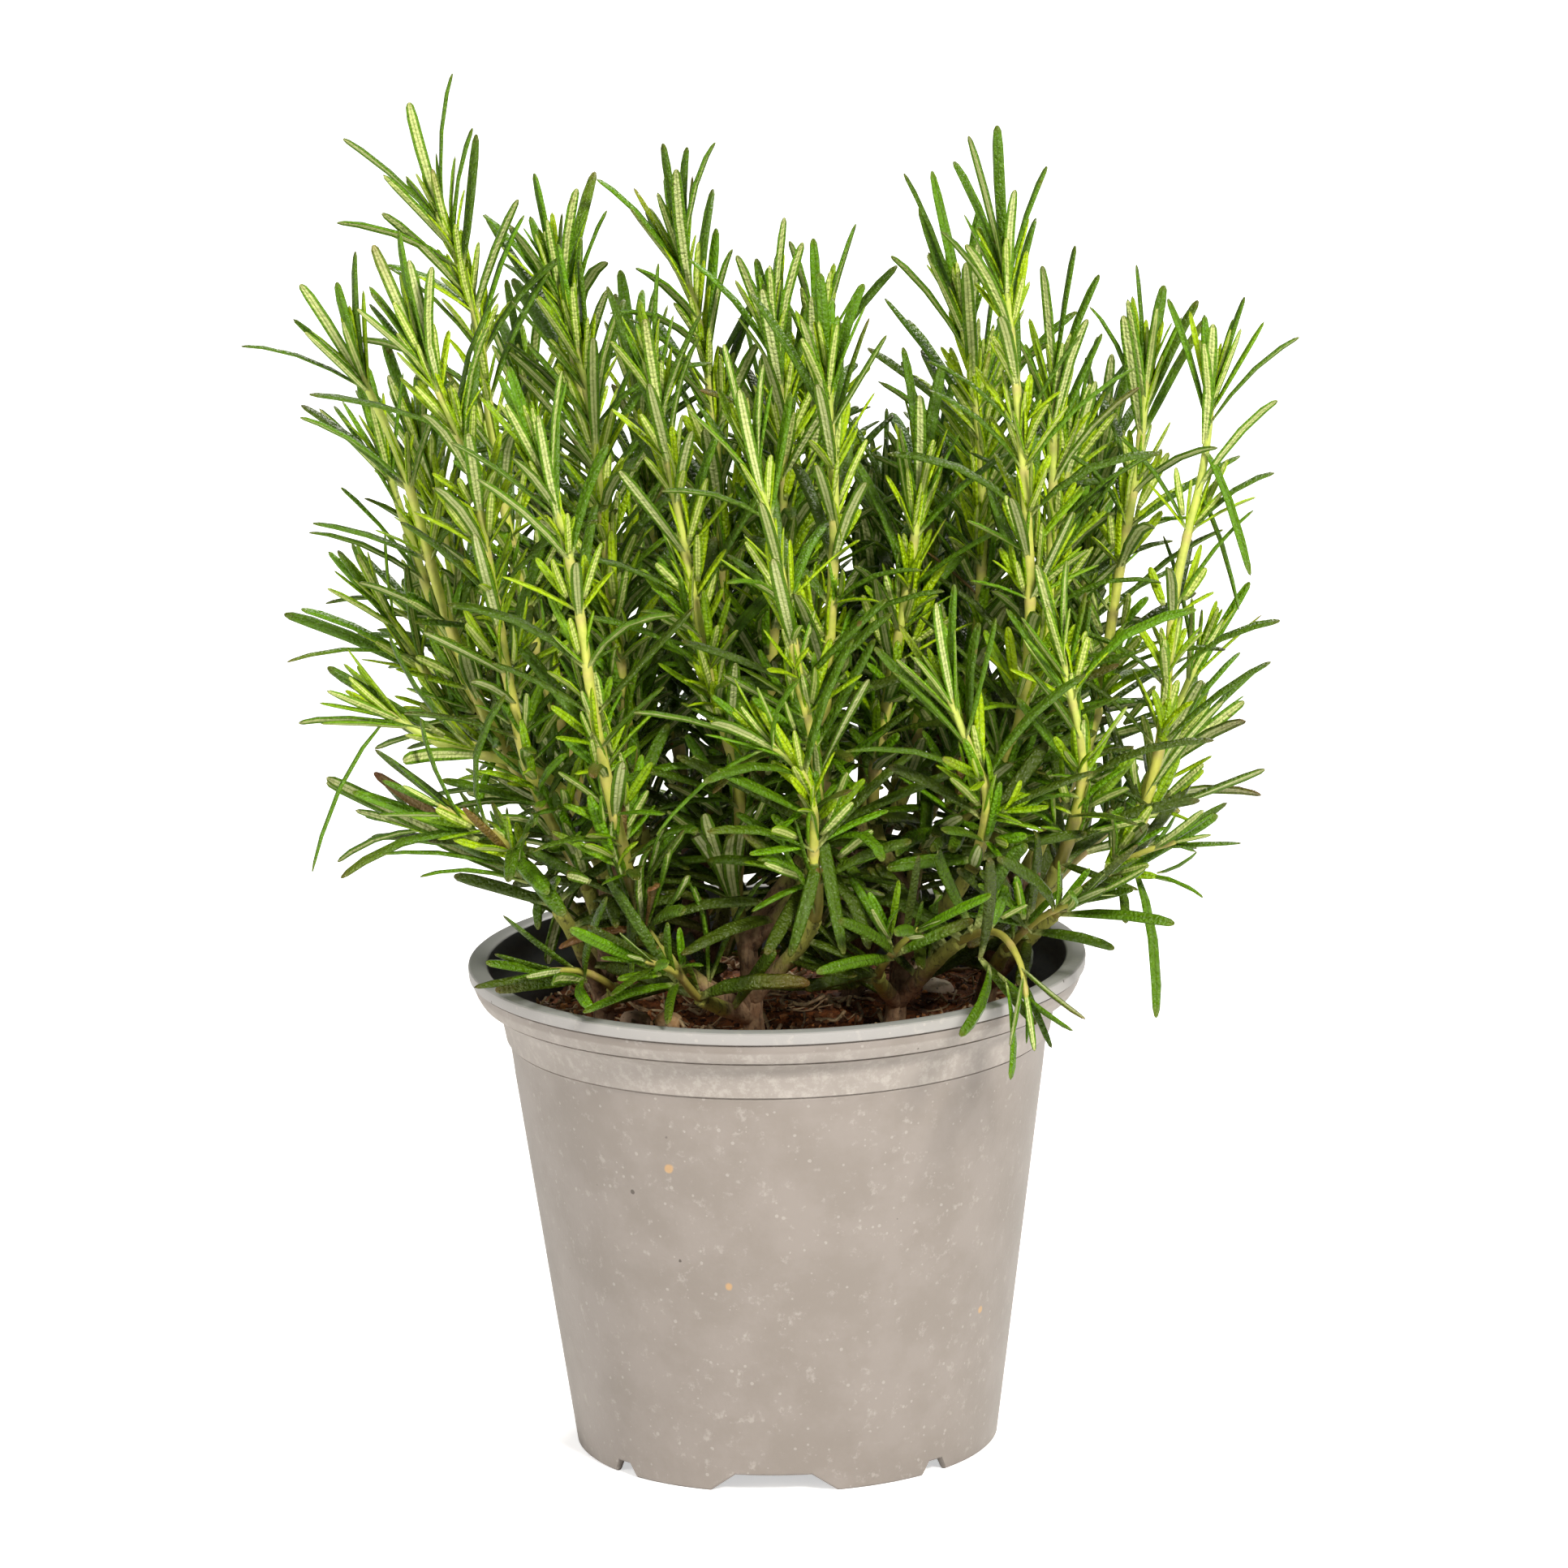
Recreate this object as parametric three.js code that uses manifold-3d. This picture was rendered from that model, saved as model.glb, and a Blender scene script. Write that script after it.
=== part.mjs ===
// A rosemary plant in its pot. A thin grey plastic pot holds dark soil with
// three pebbles in it. Six woody cuttings are rooted in the soil, and each
// carries a group of leafy stems with narrow leaves in crossed pairs.
// Millimetres, +Z up, -Y to the front. The origin is the middle of the pot's
// foot, on the surface that the pot stands on.

import * as THREE from "three";
import { mergeVertices } from "three/addons/utils/BufferGeometryUtils.js";
import Module from "manifold-3d";

const wasm = await Module();
wasm.setup();

// The clearance between two pieces that touch
const SEAT_GAP = 0.35;

// Pot
const POT_SIDES = 44;
const POT_HEIGHT = 104.5;
const RIM_RADIUS = 65;
const RIM_WIDTH = 4.3;
const WALL = 1.1;
const FOOT_RADIUS = 44.5;
const FOOT_WIDTH = 1.5;
const FLOOR_UNDERSIDE = 4;
const FLOOR_TOP = 5.5;
// Radius and height of the outside, from the foot up to the lip
const POT_OUTSIDE = [
  [FOOT_RADIUS, 0],
  [55.7, 81],
  [57.7, 90],
  [58.4, 93.6],
  [59.2, 95.1],
  [62, 97.3],
  [64.3, 100.3],
  [RIM_RADIUS, POT_HEIGHT],
];
// Radius and height of the inside, from the lip down to the floor
const POT_INSIDE = [
  [RIM_RADIUS - RIM_WIDTH, POT_HEIGHT],
  [60.2, 98.4],
  [57.3, 94.4],
  [57.7 - WALL, 90],
  [55.7 - WALL, 81],
  [45.3 - WALL, FLOOR_TOP],
];
// The feet stand between notches: angle from the front in degrees, and the
// half widths at the foot and at the top
const NOTCH_DEPTH = [36, 50];
const WIDE_NOTCH = { foot: 13.4, top: 8, height: 4 };
const NARROW_NOTCH = { foot: 3.4, top: 1.8, height: 2.8 };
const NOTCHES = [
  [-4, WIDE_NOTCH],
  [176, WIDE_NOTCH],
  [-50, NARROW_NOTCH],
  [43.6, NARROW_NOTCH],
  [130, NARROW_NOTCH],
  [-136.4, NARROW_NOTCH],
];
const DRAIN_RADIUS = 3.5;
const DRAIN_SIDES = 6;
const DRAIN_RING = 32;
const DRAIN_COUNT = 6;

// Soil
const SOIL_TOP = 91;
const SOIL_SIDES = 28;
const SOIL_RINGS = [14, 29, 43, 56.1];
const SOIL_BUMP = 1.2;

// Pebbles that lie half in the soil: place and half sizes
const PEBBLES = [
  { name: "pebble_tan", at: [-23, -5.5, 91.8], half: [2.9, 2.6, 2.4], turn: 0.4 },
  { name: "pebble_brown", at: [-30, -3, 91.6], half: [3.2, 2.7, 2.2], turn: 0.1 },
  { name: "pebble_pink", at: [34, 18, 91.8], half: [3.4, 2.8, 2.4], turn: 2.4 },
];
const PEBBLE_DETAIL = 1;
const PEBBLE_DENTS = [0.09, 0.05];

// Woody cuttings: where each stands in the soil and where its trunk ends
const ROOT_DEPTH = 28;
const TRUNK_SIDES = 6;
const TRUNK_STEP = 30;
const TRUNK_RADIUS = 2.7;
const TRUNK_TOP_RADIUS = 2.1;
const ARM_SIDES = 4;
const ARM_RADIUS = 2.0;
const ARM_END_RADIUS = 1.85;
const ARM_DROP = 9;
const ARM_SLOPE = 0.6;
const LOWEST_FORK = SOIL_TOP + 6;
const CUTTINGS = [
  { name: "woody_cutting_left", foot: [-37, -12], top: [-34, -7, 122] },
  { name: "woody_cutting_front", foot: [-5, -23], top: [-6, -25, 116] },
  { name: "woody_cutting_front_right", foot: [24, -13], top: [28, -12, 120] },
  { name: "woody_cutting_back_left", foot: [-14, 19], top: [-18, 18, 122] },
  { name: "woody_cutting_back_right", foot: [16, 17], top: [19, 17, 122] },
  { name: "woody_cutting_right", foot: [43, 3], top: [49, 2, 114] },
];
const [LEFT, FRONT, FRONT_RIGHT, BACK_LEFT, BACK_RIGHT, RIGHT] = CUTTINGS.keys();

// Leafy stems
const STEM_SIDES = 4;
const STEM_RADIUS = 1.65;
const STEM_TOP_RADIUS = 1.0;
const STEM_STEP = 26;
// Spacing of the leaf pairs along a stem, and the bare length at each end
const PAIR_SPACING = 28;
const PAIR_START = 9;
const PAIR_END = 7;
const PAIR_SHIFT = 0.35;
const PAIR_TWIST = 0.3;
const TUFT_LEAVES = 3;
const TUFT_TURN = 2.4;
const FIRST_SEED = 101;
const SEED_STEP = 7;

// Leaves. Angles in degrees, first at the foot of a stem and then at its top:
// the lean away from the stem, and the bend from the leaf's root to its tip.
const LEAF_LENGTH = 28;
const SHORTEST_SHARE = 0.84;
const LENGTH_SPREAD = 0.28;
const LEAF_WIDTH = 2.5;
const WIDTH_SHARES = [1.12, 0.94];
const LEAF_THICKNESS = 1.1;
const LEAF_ROOT_WIDTH = 1.1;
const LEAF_ROOT_THICKNESS = 0.66;
const LEAN = [66, 26];
const LEAN_SPREAD = 10;
const BEND = [6, 20];
const BEND_SPREAD = 24;
// What is tried for a leaf that would cross another stem: shares of its
// length, turns about its stem and changes of its lean
const TRY_LENGTHS = [1, 0.84, 0.7];
const TRY_TURNS = [0, 12, -12, 24, -24];
const TRY_LEANS = [0, 12, -12];
// The same for a leaf with a given tip: its root's slide along the stem and
// its bow to the side
const TRY_ROOTS = [[0, 0], [0, 2.5], [0, -2.5], [-4, 0], [4, 0], [-4, 4], [-4, -4], [5, 4], [5, -4], [-8, 0]];
const LEAF_CLEARANCE = 0.45;
const BAR_LENGTH = 8;
// How far the leaves reach whose tips aren't listed below
const LEAF_REACH = new THREE.Box3(new THREE.Vector3(-104, -82, 96), new THREE.Vector3(107, 82, 288));

// Each stem's route starts at its wood, or on the stem that it branches from,
// and ends at its growing tip. Its tips are the ends of the leaves that show
// in the plant's outline.
const STEMS = [
  {
    name: "leafy_stem_left_tall", on: LEFT,
    route: [[-38, -6, 134], [-44, -4, 155], [-52, -1, 186], [-57, 2, 220], [-60, 4, 244], [-66, 5, 262]],
    tips: [[-63, 8, 292.5], [-72, 0, 288], [-59, 2, 282], [-86, 4, 280], [-78, -6, 266], [-49, 10, 262]],
  },
  {
    name: "leafy_stem_left_front", on: LEFT,
    route: [[-39, -20, 125], [-50, -24, 150], [-57, -28, 192], [-61, -29, 218], [-71, -30, 243]],
    tips: [[-79, -36, 265], [-74, -26, 266], [-67, -40, 261], [-56, -34, 247]],
  },
  {
    name: "leafy_stem_left_outer", on: LEFT,
    route: [[-46, -2, 134], [-58, -4, 155], [-67, -6, 180], [-76, -8, 215], [-84, -8, 234]],
    tips: [[-95, -14, 253], [-88, -2, 251], [-108, -8, 239], [-96, -14, 225], [-84, 0, 257]],
    branches: [
      {
        from: 12, route: [[-66, 7, 168], [-76, 12, 197], [-80, 12, 211]],
        tips: [[-89, 10, 205], [-90, 12, 222], [-83, 18, 229]],
      },
      {
        from: 4, route: [[-66, 9, 155], [-81, 8, 180]],
        tips: [[-98, 6, 180], [-101, 0, 170], [-90, 8, 192]],
      },
    ],
  },
  {
    name: "leafy_stem_left_drooping", on: LEFT,
    route: [[-37, -13, 130], [-45, -15, 146], [-56, -17, 152], [-67, -18, 155], [-80, -18, 163]],
    tips: [[-98, -22, 162], [-79, -12, 178], [-92, -14, 172], [-96, -26, 131]],
  },
  {
    name: "leafy_stem_left_low", on: LEFT,
    route: [[-45, -27, 122], [-56, -31, 138], [-69, -35, 147]],
    tips: [[-87, -30, 149], [-81, -36, 137], [-73, -44, 134], [-72, -38, 166]],
  },
  {
    name: "leafy_stem_left_back", on: LEFT,
    route: [[-45, 9, 132], [-60, 22, 166], [-73, 28, 210]],
    tips: [[-80, 34, 232], [-70, 24, 234]],
  },
  {
    name: "leafy_stem_left_back_low", on: LEFT,
    route: [[-42, 9, 113], [-58, 20, 121], [-76, 28, 128]],
    tips: [[-95, 34, 136], [-86, 42, 122]],
  },
  {
    name: "low_sprig_left", on: LEFT,
    route: [[-34, -24, 104], [-40, -32, 110], [-47, -38, 112]],
    tips: [[-60, -46, 116], [-46, -52, 113], [-38, -52, 107]],
  },
  {
    name: "leafy_stem_left_inner", on: BACK_LEFT,
    route: [[-28, 4, 131], [-32, 11, 170], [-34, 14, 196], [-38, 16, 222], [-43, 18, 247]],
    tips: [[-47, 20, 269], [-38, 12, 267], [-58, 22, 260], [-32, 24, 260]],
  },
  {
    name: "leafy_stem_middle_tall", on: BACK_LEFT,
    route: [[-13, 11, 133], [-10, 14, 168], [-10, 18, 200], [-12, 21, 228], [-17, 22, 251]],
    tips: [[-20, 24, 274], [-15, 30, 272], [-9, 18, 275], [-34, 22, 267], [-6, 14, 253]],
  },
  {
    name: "leafy_stem_middle_front", on: FRONT,
    route: [
      [-8, -19, 121], [-7, -22, 146], [-12, -24, 168], [-16, -25, 190], [-19, -25, 211], [-23, -25, 235],
    ],
    tips: [[-24, -34, 248], [-13, -30, 243], [-30, -20, 246], [-21, -26, 258]],
  },
  {
    name: "leafy_stem_front_left", on: FRONT,
    route: [[-27, -33, 118], [-31, -36, 136], [-36, -40, 164], [-40, -42, 197], [-46, -43, 222]],
    tips: [[-46, -52, 232], [-52, -40, 240], [-41, -46, 240], [-64, -48, 226]],
  },
  {
    name: "leafy_stem_left_middle", on: LEFT,
    route: [[-29, -8, 134], [-31, -6, 165], [-34, -4, 199], [-36, -3, 222], [-39, -3, 238]],
    tips: [[-35, -12, 240], [-42, -2, 258], [-30, -8, 244]],
  },
  {
    name: "leafy_stem_front_middle", on: FRONT,
    route: [[8, -31, 131], [9, -36, 150], [6, -40, 172], [2, -42, 200], [-3, -42, 221]],
    tips: [[-5, -50, 236], [0, -44, 240], [-14, -38, 231], [-8, -42, 244]],
  },
  {
    name: "leafy_stem_middle_right", on: FRONT,
    route: [[9, -19, 137], [11, -22, 160], [13, -26, 186], [14, -28, 209], [13, -30, 235]],
    tips: [[8, -38, 248], [22, -28, 246], [21, -22, 252], [12, -30, 256]],
  },
  {
    name: "leafy_stem_middle_back", on: BACK_RIGHT,
    route: [[5, 9, 136], [7, 15, 167], [9, 20, 201], [12, 24, 232]],
    tips: [[6, 22, 253], [11, 30, 252], [20, 24, 256]],
  },
  {
    name: "leafy_stem_middle", on: BACK_LEFT,
    route: [[-4, 4, 139], [1, 5, 175], [4, 7, 215], [2, 8, 238]],
    tips: [[5, 6, 261], [-1, 14, 251], [-5, 2, 254]],
  },
  {
    name: "leafy_stem_right_tall", on: FRONT_RIGHT,
    route: [[31, -8, 128], [42, -13, 139], [51, -18, 156], [54, -20, 181], [53, -21, 215], [50, -22, 253]],
    tips: [[49, -20, 284], [43, -26, 283], [40, -16, 276], [59, -24, 276], [52, -34, 273], [37, -30, 264]],
  },
  {
    name: "leafy_stem_right_back", on: BACK_RIGHT,
    route: [[33, 8, 133], [43, 9, 167], [45, 12, 210], [42, 12, 238]],
    tips: [[30, 10, 269], [36, 18, 268], [27, 8, 252], [46, 20, 260]],
  },
  {
    name: "leafy_stem_right_middle", on: RIGHT,
    route: [[46, -4, 131], [56, -3, 161], [59, -4, 190], [60, -5, 225]],
    tips: [[65, -6, 256], [70, -2, 249], [58, -12, 253], [67, -14, 242]],
  },
  {
    name: "leafy_stem_right_inner", on: RIGHT,
    route: [[57, 3, 129], [67, 5, 150], [73, 7, 181], [78, 8, 209], [80, 8, 226]],
    tips: [[78, 8, 249], [84, 16, 243], [68, 4, 241], [91, 14, 240]],
  },
  {
    name: "leafy_stem_right_outer", on: RIGHT,
    route: [[58, -12, 115], [73, -12, 127], [80, -10, 146], [85, -7, 184], [91, -5, 209], [93, -5, 225]],
    tips: [
      [100, -4, 244], [93, -12, 240], [84, -4, 244], [111, -8, 236], [106, -14, 224], [101, -10, 200],
      [100, -14, 187], [98, -2, 177], [94, -16, 161],
    ],
    branches: [
      {
        from: 3, route: [[68, -23, 126], [76, -29, 132], [83, -32, 135]],
        tips: [[92, -30, 140], [78, -46, 101], [88, -44, 126]],
      },
      {
        from: 20, route: [[80, 4, 142], [90, 8, 165]],
        tips: [[101, 12, 180], [99, 16, 164]],
      },
    ],
  },
  {
    name: "leafy_stem_right_centre", on: FRONT_RIGHT,
    route: [[21, -4, 134], [25, -8, 165], [29, -11, 186], [32, -12, 207]],
    tips: [[32, -20, 228], [37, -8, 232], [29, -4, 235]],
  },
  {
    name: "leafy_stem_front_right_short", on: FRONT_RIGHT,
    route: [[41, -33, 131], [44, -44, 149], [41, -47, 158], [36, -50, 172]],
    tips: [[34, -60, 193], [38, -52, 195], [43, -48, 186], [25, -57, 178]],
  },
  {
    name: "leafy_stem_right_front_short", on: RIGHT,
    route: [[59, -22, 128], [64, -32, 150], [60, -38, 177]],
    tips: [[55, -44, 197], [61, -46, 198], [66, -38, 188]],
  },
  {
    name: "leafy_stem_front_pale", on: FRONT,
    route: [[8, -36, 121], [8, -41, 137], [8, -46, 148], [5, -50, 157], [-1, -52, 163]],
    tips: [[-12, -86, 175], [-28, -62, 172], [-24, -62, 146], [6, -70, 180]],
  },
  {
    name: "low_sprig_front_left", on: FRONT,
    route: [[-16, -33, 104], [-21, -42, 112], [-27, -51, 117]],
    tips: [[-42, -66, 128], [-22, -74, 122], [-40, -58, 108]],
  },
  {
    name: "low_sprig_front", on: FRONT_RIGHT,
    route: [[21, -29, 107], [25, -41, 116], [29, -50, 122]],
    tips: [[24, -76, 128], [44, -70, 134], [8, -60, 116]],
  },
  {
    name: "low_sprig_over_rim", on: FRONT_RIGHT,
    route: [[38, -33, 115], [46, -47, 120], [50, -57, 116], [51, -62, 110]],
    tips: [[37, -72, 105], [47, -77, 97], [60, -73, 106]],
  },
  {
    name: "low_sprig_right", on: RIGHT,
    route: [[48, -17, 109], [55, -30, 119], [64, -42, 126]],
    tips: [[76, -58, 136], [82, -50, 122], [60, -62, 132]],
  },
  {
    name: "leafy_stem_right_low", on: RIGHT,
    route: [[59, 12, 116], [76, 22, 130], [88, 28, 144]],
    tips: [[104, 36, 156], [100, 22, 152], [92, 44, 150]],
  },
  {
    name: "leafy_stem_right_side", on: RIGHT,
    route: [[50, 11, 133], [58, 13, 173], [64, 16, 210]],
    tips: [[70, 18, 232], [60, 24, 232]],
  },
  {
    name: "leafy_stem_right_side_back", on: RIGHT,
    route: [[52, 18, 127], [64, 30, 164], [71, 36, 202]],
    tips: [[78, 44, 222], [68, 36, 224]],
  },
  {
    name: "leafy_stem_right_back_low", on: RIGHT,
    route: [[46, 22, 120], [58, 44, 144], [68, 54, 170]],
    tips: [[76, 68, 186], [66, 58, 192]],
  },
  {
    name: "leafy_stem_back_right_tall", on: BACK_RIGHT,
    route: [[33, 24, 132], [42, 36, 170], [46, 44, 218]],
    tips: [[50, 48, 242], [40, 48, 240]],
  },
  {
    name: "leafy_stem_right_centre_back", on: BACK_RIGHT,
    route: [[28, 13, 137], [33, 22, 175], [35, 26, 203]],
    tips: [[29, 26, 226], [41, 32, 224]],
  },
  {
    name: "leafy_stem_back_right_middle", on: BACK_RIGHT,
    route: [[19, 27, 132], [22, 42, 162], [25, 50, 188]],
    tips: [[26, 56, 210], [18, 50, 208]],
  },
  {
    name: "leafy_stem_back_right_short", on: BACK_RIGHT,
    route: [[24, 33, 124], [31, 56, 148], [36, 65, 174]],
    tips: [[38, 80, 188], [32, 66, 197]],
  },
  {
    name: "leafy_stem_back_middle", on: BACK_RIGHT,
    route: [[4, 26, 134], [3, 42, 170], [1, 51, 208]],
    tips: [[-4, 56, 230], [4, 50, 232]],
  },
  {
    name: "leafy_stem_back_middle_short", on: BACK_RIGHT,
    route: [[3, 33, 122], [-2, 58, 146], [-5, 67, 172]],
    tips: [[-8, 82, 188], [0, 70, 194]],
  },
  {
    name: "low_sprig_back", on: BACK_LEFT,
    route: [[-11, 32, 108], [-14, 48, 118], [-18, 64, 122]],
    tips: [[-22, 86, 126], [-32, 76, 120]],
  },
  {
    name: "low_sprig_back_right", on: BACK_RIGHT,
    route: [[27, 29, 108], [38, 46, 118], [46, 58, 123]],
    tips: [[56, 78, 130], [64, 66, 124]],
  },
  {
    name: "leafy_stem_back_left_tall", on: BACK_LEFT,
    route: [[-33, 21, 134], [-44, 35, 168], [-50, 41, 218]],
    tips: [[-54, 44, 242], [-46, 38, 242]],
  },
  {
    name: "leafy_stem_back_left_middle", on: BACK_LEFT,
    route: [[-19, 27, 134], [-23, 41, 172], [-27, 47, 218]],
    tips: [[-30, 52, 242], [-22, 46, 240]],
  },
  {
    name: "leafy_stem_back_left_outer", on: BACK_LEFT,
    route: [[-37, 27, 123], [-60, 41, 142], [-73, 48, 168]],
    tips: [[-88, 54, 182], [-76, 50, 192]],
  },
  {
    name: "leafy_stem_back_left_short", on: BACK_LEFT,
    route: [[-24, 32, 124], [-34, 54, 148], [-41, 63, 178]],
    tips: [[-50, 76, 192], [-40, 66, 202]],
  },
];

const vector = (list) => new THREE.Vector3(...list);
const lerp = THREE.MathUtils.lerp;
const radians = THREE.MathUtils.degToRad;

// A repeatable stream of draws between 0 and 1
function drawsFrom(seed) {
  let state = seed >>> 0;
  return () => {
    state = (state + 0x6d2b79f5) >>> 0;
    let mixed = state;
    mixed = Math.imul(mixed ^ (mixed >>> 15), mixed | 1);
    mixed ^= mixed + Math.imul(mixed ^ (mixed >>> 7), mixed | 61);
    return ((mixed ^ (mixed >>> 14)) >>> 0) / 2 ** 32;
  };
}

function solidOf(geometry) {
  const bare = geometry.clone();
  bare.deleteAttribute("normal");
  bare.deleteAttribute("uv");
  const merged = mergeVertices(bare, 1e-4);
  const mesh = new wasm.Mesh({
    numProp: 3,
    vertProperties: new Float32Array(merged.attributes.position.array),
    triVerts: new Uint32Array(merged.index.array),
  });
  return new wasm.Manifold(mesh);
}

function geometryOf(solid) {
  const mesh = solid.getMesh();
  const geometry = new THREE.BufferGeometry();
  geometry.setAttribute("position", new THREE.BufferAttribute(new Float32Array(mesh.vertProperties), 3));
  geometry.setIndex(new THREE.BufferAttribute(new Uint32Array(mesh.triVerts), 1));
  geometry.computeVertexNormals();
  return geometry;
}

const joined = (geometries) => geometries.map(solidOf).reduce((whole, solid) => whole.add(solid));

// A closed tube through rings of points. A ring of one point closes to a tip.
function geometryOfRings(rings) {
  const positions = rings.flat().flatMap((point) => point.toArray());
  const starts = [0];
  rings.forEach((ring) => starts.push(starts.at(-1) + ring.length));
  const index = [];
  for (let i = 0; i + 1 < rings.length; i++) {
    const lower = starts[i];
    const higher = starts[i + 1];
    const count = rings[i].length;
    for (let j = 0; j < count; j++) {
      const next = (j + 1) % count;
      if (rings[i + 1].length === 1) {
        index.push(lower + j, lower + next, higher);
      } else {
        index.push(lower + j, lower + next, higher + next, lower + j, higher + next, higher + j);
      }
    }
  }
  for (let j = 1; j + 1 < rings[0].length; j++) index.push(0, j + 1, j);
  const last = starts[rings.length - 1];
  for (let j = 1; j + 1 < rings.at(-1).length; j++) index.push(last, last + j, last + j + 1);
  const geometry = new THREE.BufferGeometry();
  geometry.setAttribute("position", new THREE.Float32BufferAttribute(positions, 3));
  geometry.setIndex(index);
  return geometry;
}

// A smooth path through points, with a frame carried along it without twist
class Path {
  constructor(points) {
    const samplesPerSpan = 8;
    const curve = new THREE.CatmullRomCurve3(points, false, "centripetal");
    const count = (points.length - 1) * samplesPerSpan;
    this.points = [];
    for (let i = 0; i <= count; i++) this.points.push(curve.getPoint(i / count));
    this.lengths = [0];
    this.points.slice(1).forEach((point, i) => {
      this.lengths.push(this.lengths[i] + point.distanceTo(this.points[i]));
    });
    this.length = this.lengths.at(-1);
    this.firstSpan = this.lengths[samplesPerSpan];
    this.sides = [];
    let side = new THREE.Vector3(0, 1, 0);
    this.points.forEach((_, i) => {
      const along = this.direction(i);
      side = side.clone().addScaledVector(along, -side.dot(along)).normalize();
      this.sides.push(side);
    });
  }

  direction(i) {
    const before = this.points[Math.max(i - 1, 0)];
    const after = this.points[Math.min(i + 1, this.points.length - 1)];
    return after.clone().sub(before).normalize();
  }

  // The point, direction and two side vectors at a distance along the path
  at(distance) {
    let i = 0;
    while (i + 2 < this.lengths.length && this.lengths[i + 1] < distance) i++;
    const share = (distance - this.lengths[i]) / (this.lengths[i + 1] - this.lengths[i]);
    const point = this.points[i].clone().lerp(this.points[i + 1], share);
    const along = this.direction(i).lerp(this.direction(i + 1), share).normalize();
    const side = this.sides[i].clone().lerp(this.sides[i + 1], share);
    side.addScaledVector(along, -side.dot(along)).normalize();
    return { point, along, side, across: along.clone().cross(side) };
  }
}

// The distances at which a tube along part of a path has its rings
function ringStops(from, to, step) {
  const count = Math.max(1, Math.round((to - from) / step));
  return Array.from({ length: count + 1 }, (_, i) => lerp(from, to, i / count));
}

// A tube of flat sides along part of a path, thinner towards its end
function tubeAlong(path, from, to, radiusFrom, radiusTo, sides, step) {
  const rings = [];
  for (const stop of ringStops(from, to, step)) {
    const share = (stop - from) / (to - from);
    const frame = path.at(stop);
    const radius = lerp(radiusFrom, radiusTo, share);
    const ring = [];
    for (let j = 0; j < sides; j++) {
      const angle = (2 * Math.PI * (j + 0.5)) / sides;
      const point = frame.point.clone();
      point.addScaledVector(frame.side, radius * Math.cos(angle));
      point.addScaledVector(frame.across, radius * Math.sin(angle));
      ring.push(point);
    }
    rings.push(ring);
  }
  return geometryOfRings(rings);
}

// Pot

function notchCutter([angle, notch]) {
  const below = 1;
  const slope = (notch.foot - notch.top) / notch.height;
  const shape = new THREE.Shape();
  shape.moveTo(-notch.foot - slope * below, -below);
  shape.lineTo(notch.foot + slope * below, -below);
  shape.lineTo(notch.top, notch.height);
  shape.lineTo(-notch.top, notch.height);
  const depth = NOTCH_DEPTH[1] - NOTCH_DEPTH[0];
  const cutter = new THREE.ExtrudeGeometry(shape, { depth, bevelEnabled: false });
  cutter.rotateX(Math.PI / 2);
  cutter.translate(0, -NOTCH_DEPTH[0], 0);
  cutter.rotateZ(radians(angle));
  return solidOf(cutter);
}

function drainCutter(x, y) {
  const height = 2 * FLOOR_TOP;
  const cutter = new THREE.CylinderGeometry(DRAIN_RADIUS, DRAIN_RADIUS, height, DRAIN_SIDES);
  cutter.rotateX(Math.PI / 2);
  cutter.translate(x, y, height / 2);
  return solidOf(cutter);
}

function makePot() {
  const foot = FOOT_RADIUS - FOOT_WIDTH;
  const underside = [[0, FLOOR_UNDERSIDE], [foot, FLOOR_UNDERSIDE], [foot, 0]];
  const outline = [...underside, ...POT_OUTSIDE, ...POT_INSIDE, [0, FLOOR_TOP]];
  const turned = new THREE.LatheGeometry(outline.map(([r, z]) => new THREE.Vector2(r, z)), POT_SIDES);
  turned.rotateX(Math.PI / 2);
  let pot = solidOf(turned);
  NOTCHES.forEach((notch) => {
    pot = pot.subtract(notchCutter(notch));
  });
  pot = pot.subtract(drainCutter(0, 0));
  for (let i = 0; i < DRAIN_COUNT; i++) {
    const angle = (2 * Math.PI * (i + 0.5)) / DRAIN_COUNT;
    pot = pot.subtract(drainCutter(DRAIN_RING * Math.cos(angle), DRAIN_RING * Math.sin(angle)));
  }
  return pot;
}

// Soil and pebbles

// The point at a height on the straight trunk of a cutting
function onTrunk(cutting, z) {
  const [x, y] = cutting.foot;
  const share = (z - SOIL_TOP) / (cutting.top[2] - SOIL_TOP);
  return new THREE.Vector3(lerp(x, cutting.top[0], share), lerp(y, cutting.top[1], share), z);
}

function soilHeight(x, y) {
  const wide = Math.sin(x * 0.11 + 1) * Math.cos(y * 0.13);
  const narrow = 0.5 * Math.sin(x * 0.31 + y * 0.23) * Math.sin(y * 0.29 - 1);
  return SOIL_TOP + SOIL_BUMP * (wide + narrow);
}

// The plain hole that a cutting stands in
function holeOfCutting(cutting) {
  const bottom = onTrunk(cutting, SOIL_TOP - ROOT_DEPTH - SEAT_GAP);
  const path = new Path([bottom, onTrunk(cutting, SOIL_TOP + 3 * SOIL_BUMP)]);
  const radius = TRUNK_RADIUS + 1.5 * SEAT_GAP;
  return tubeAlong(path, 0, path.length, radius, radius, TRUNK_SIDES, path.length);
}

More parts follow.
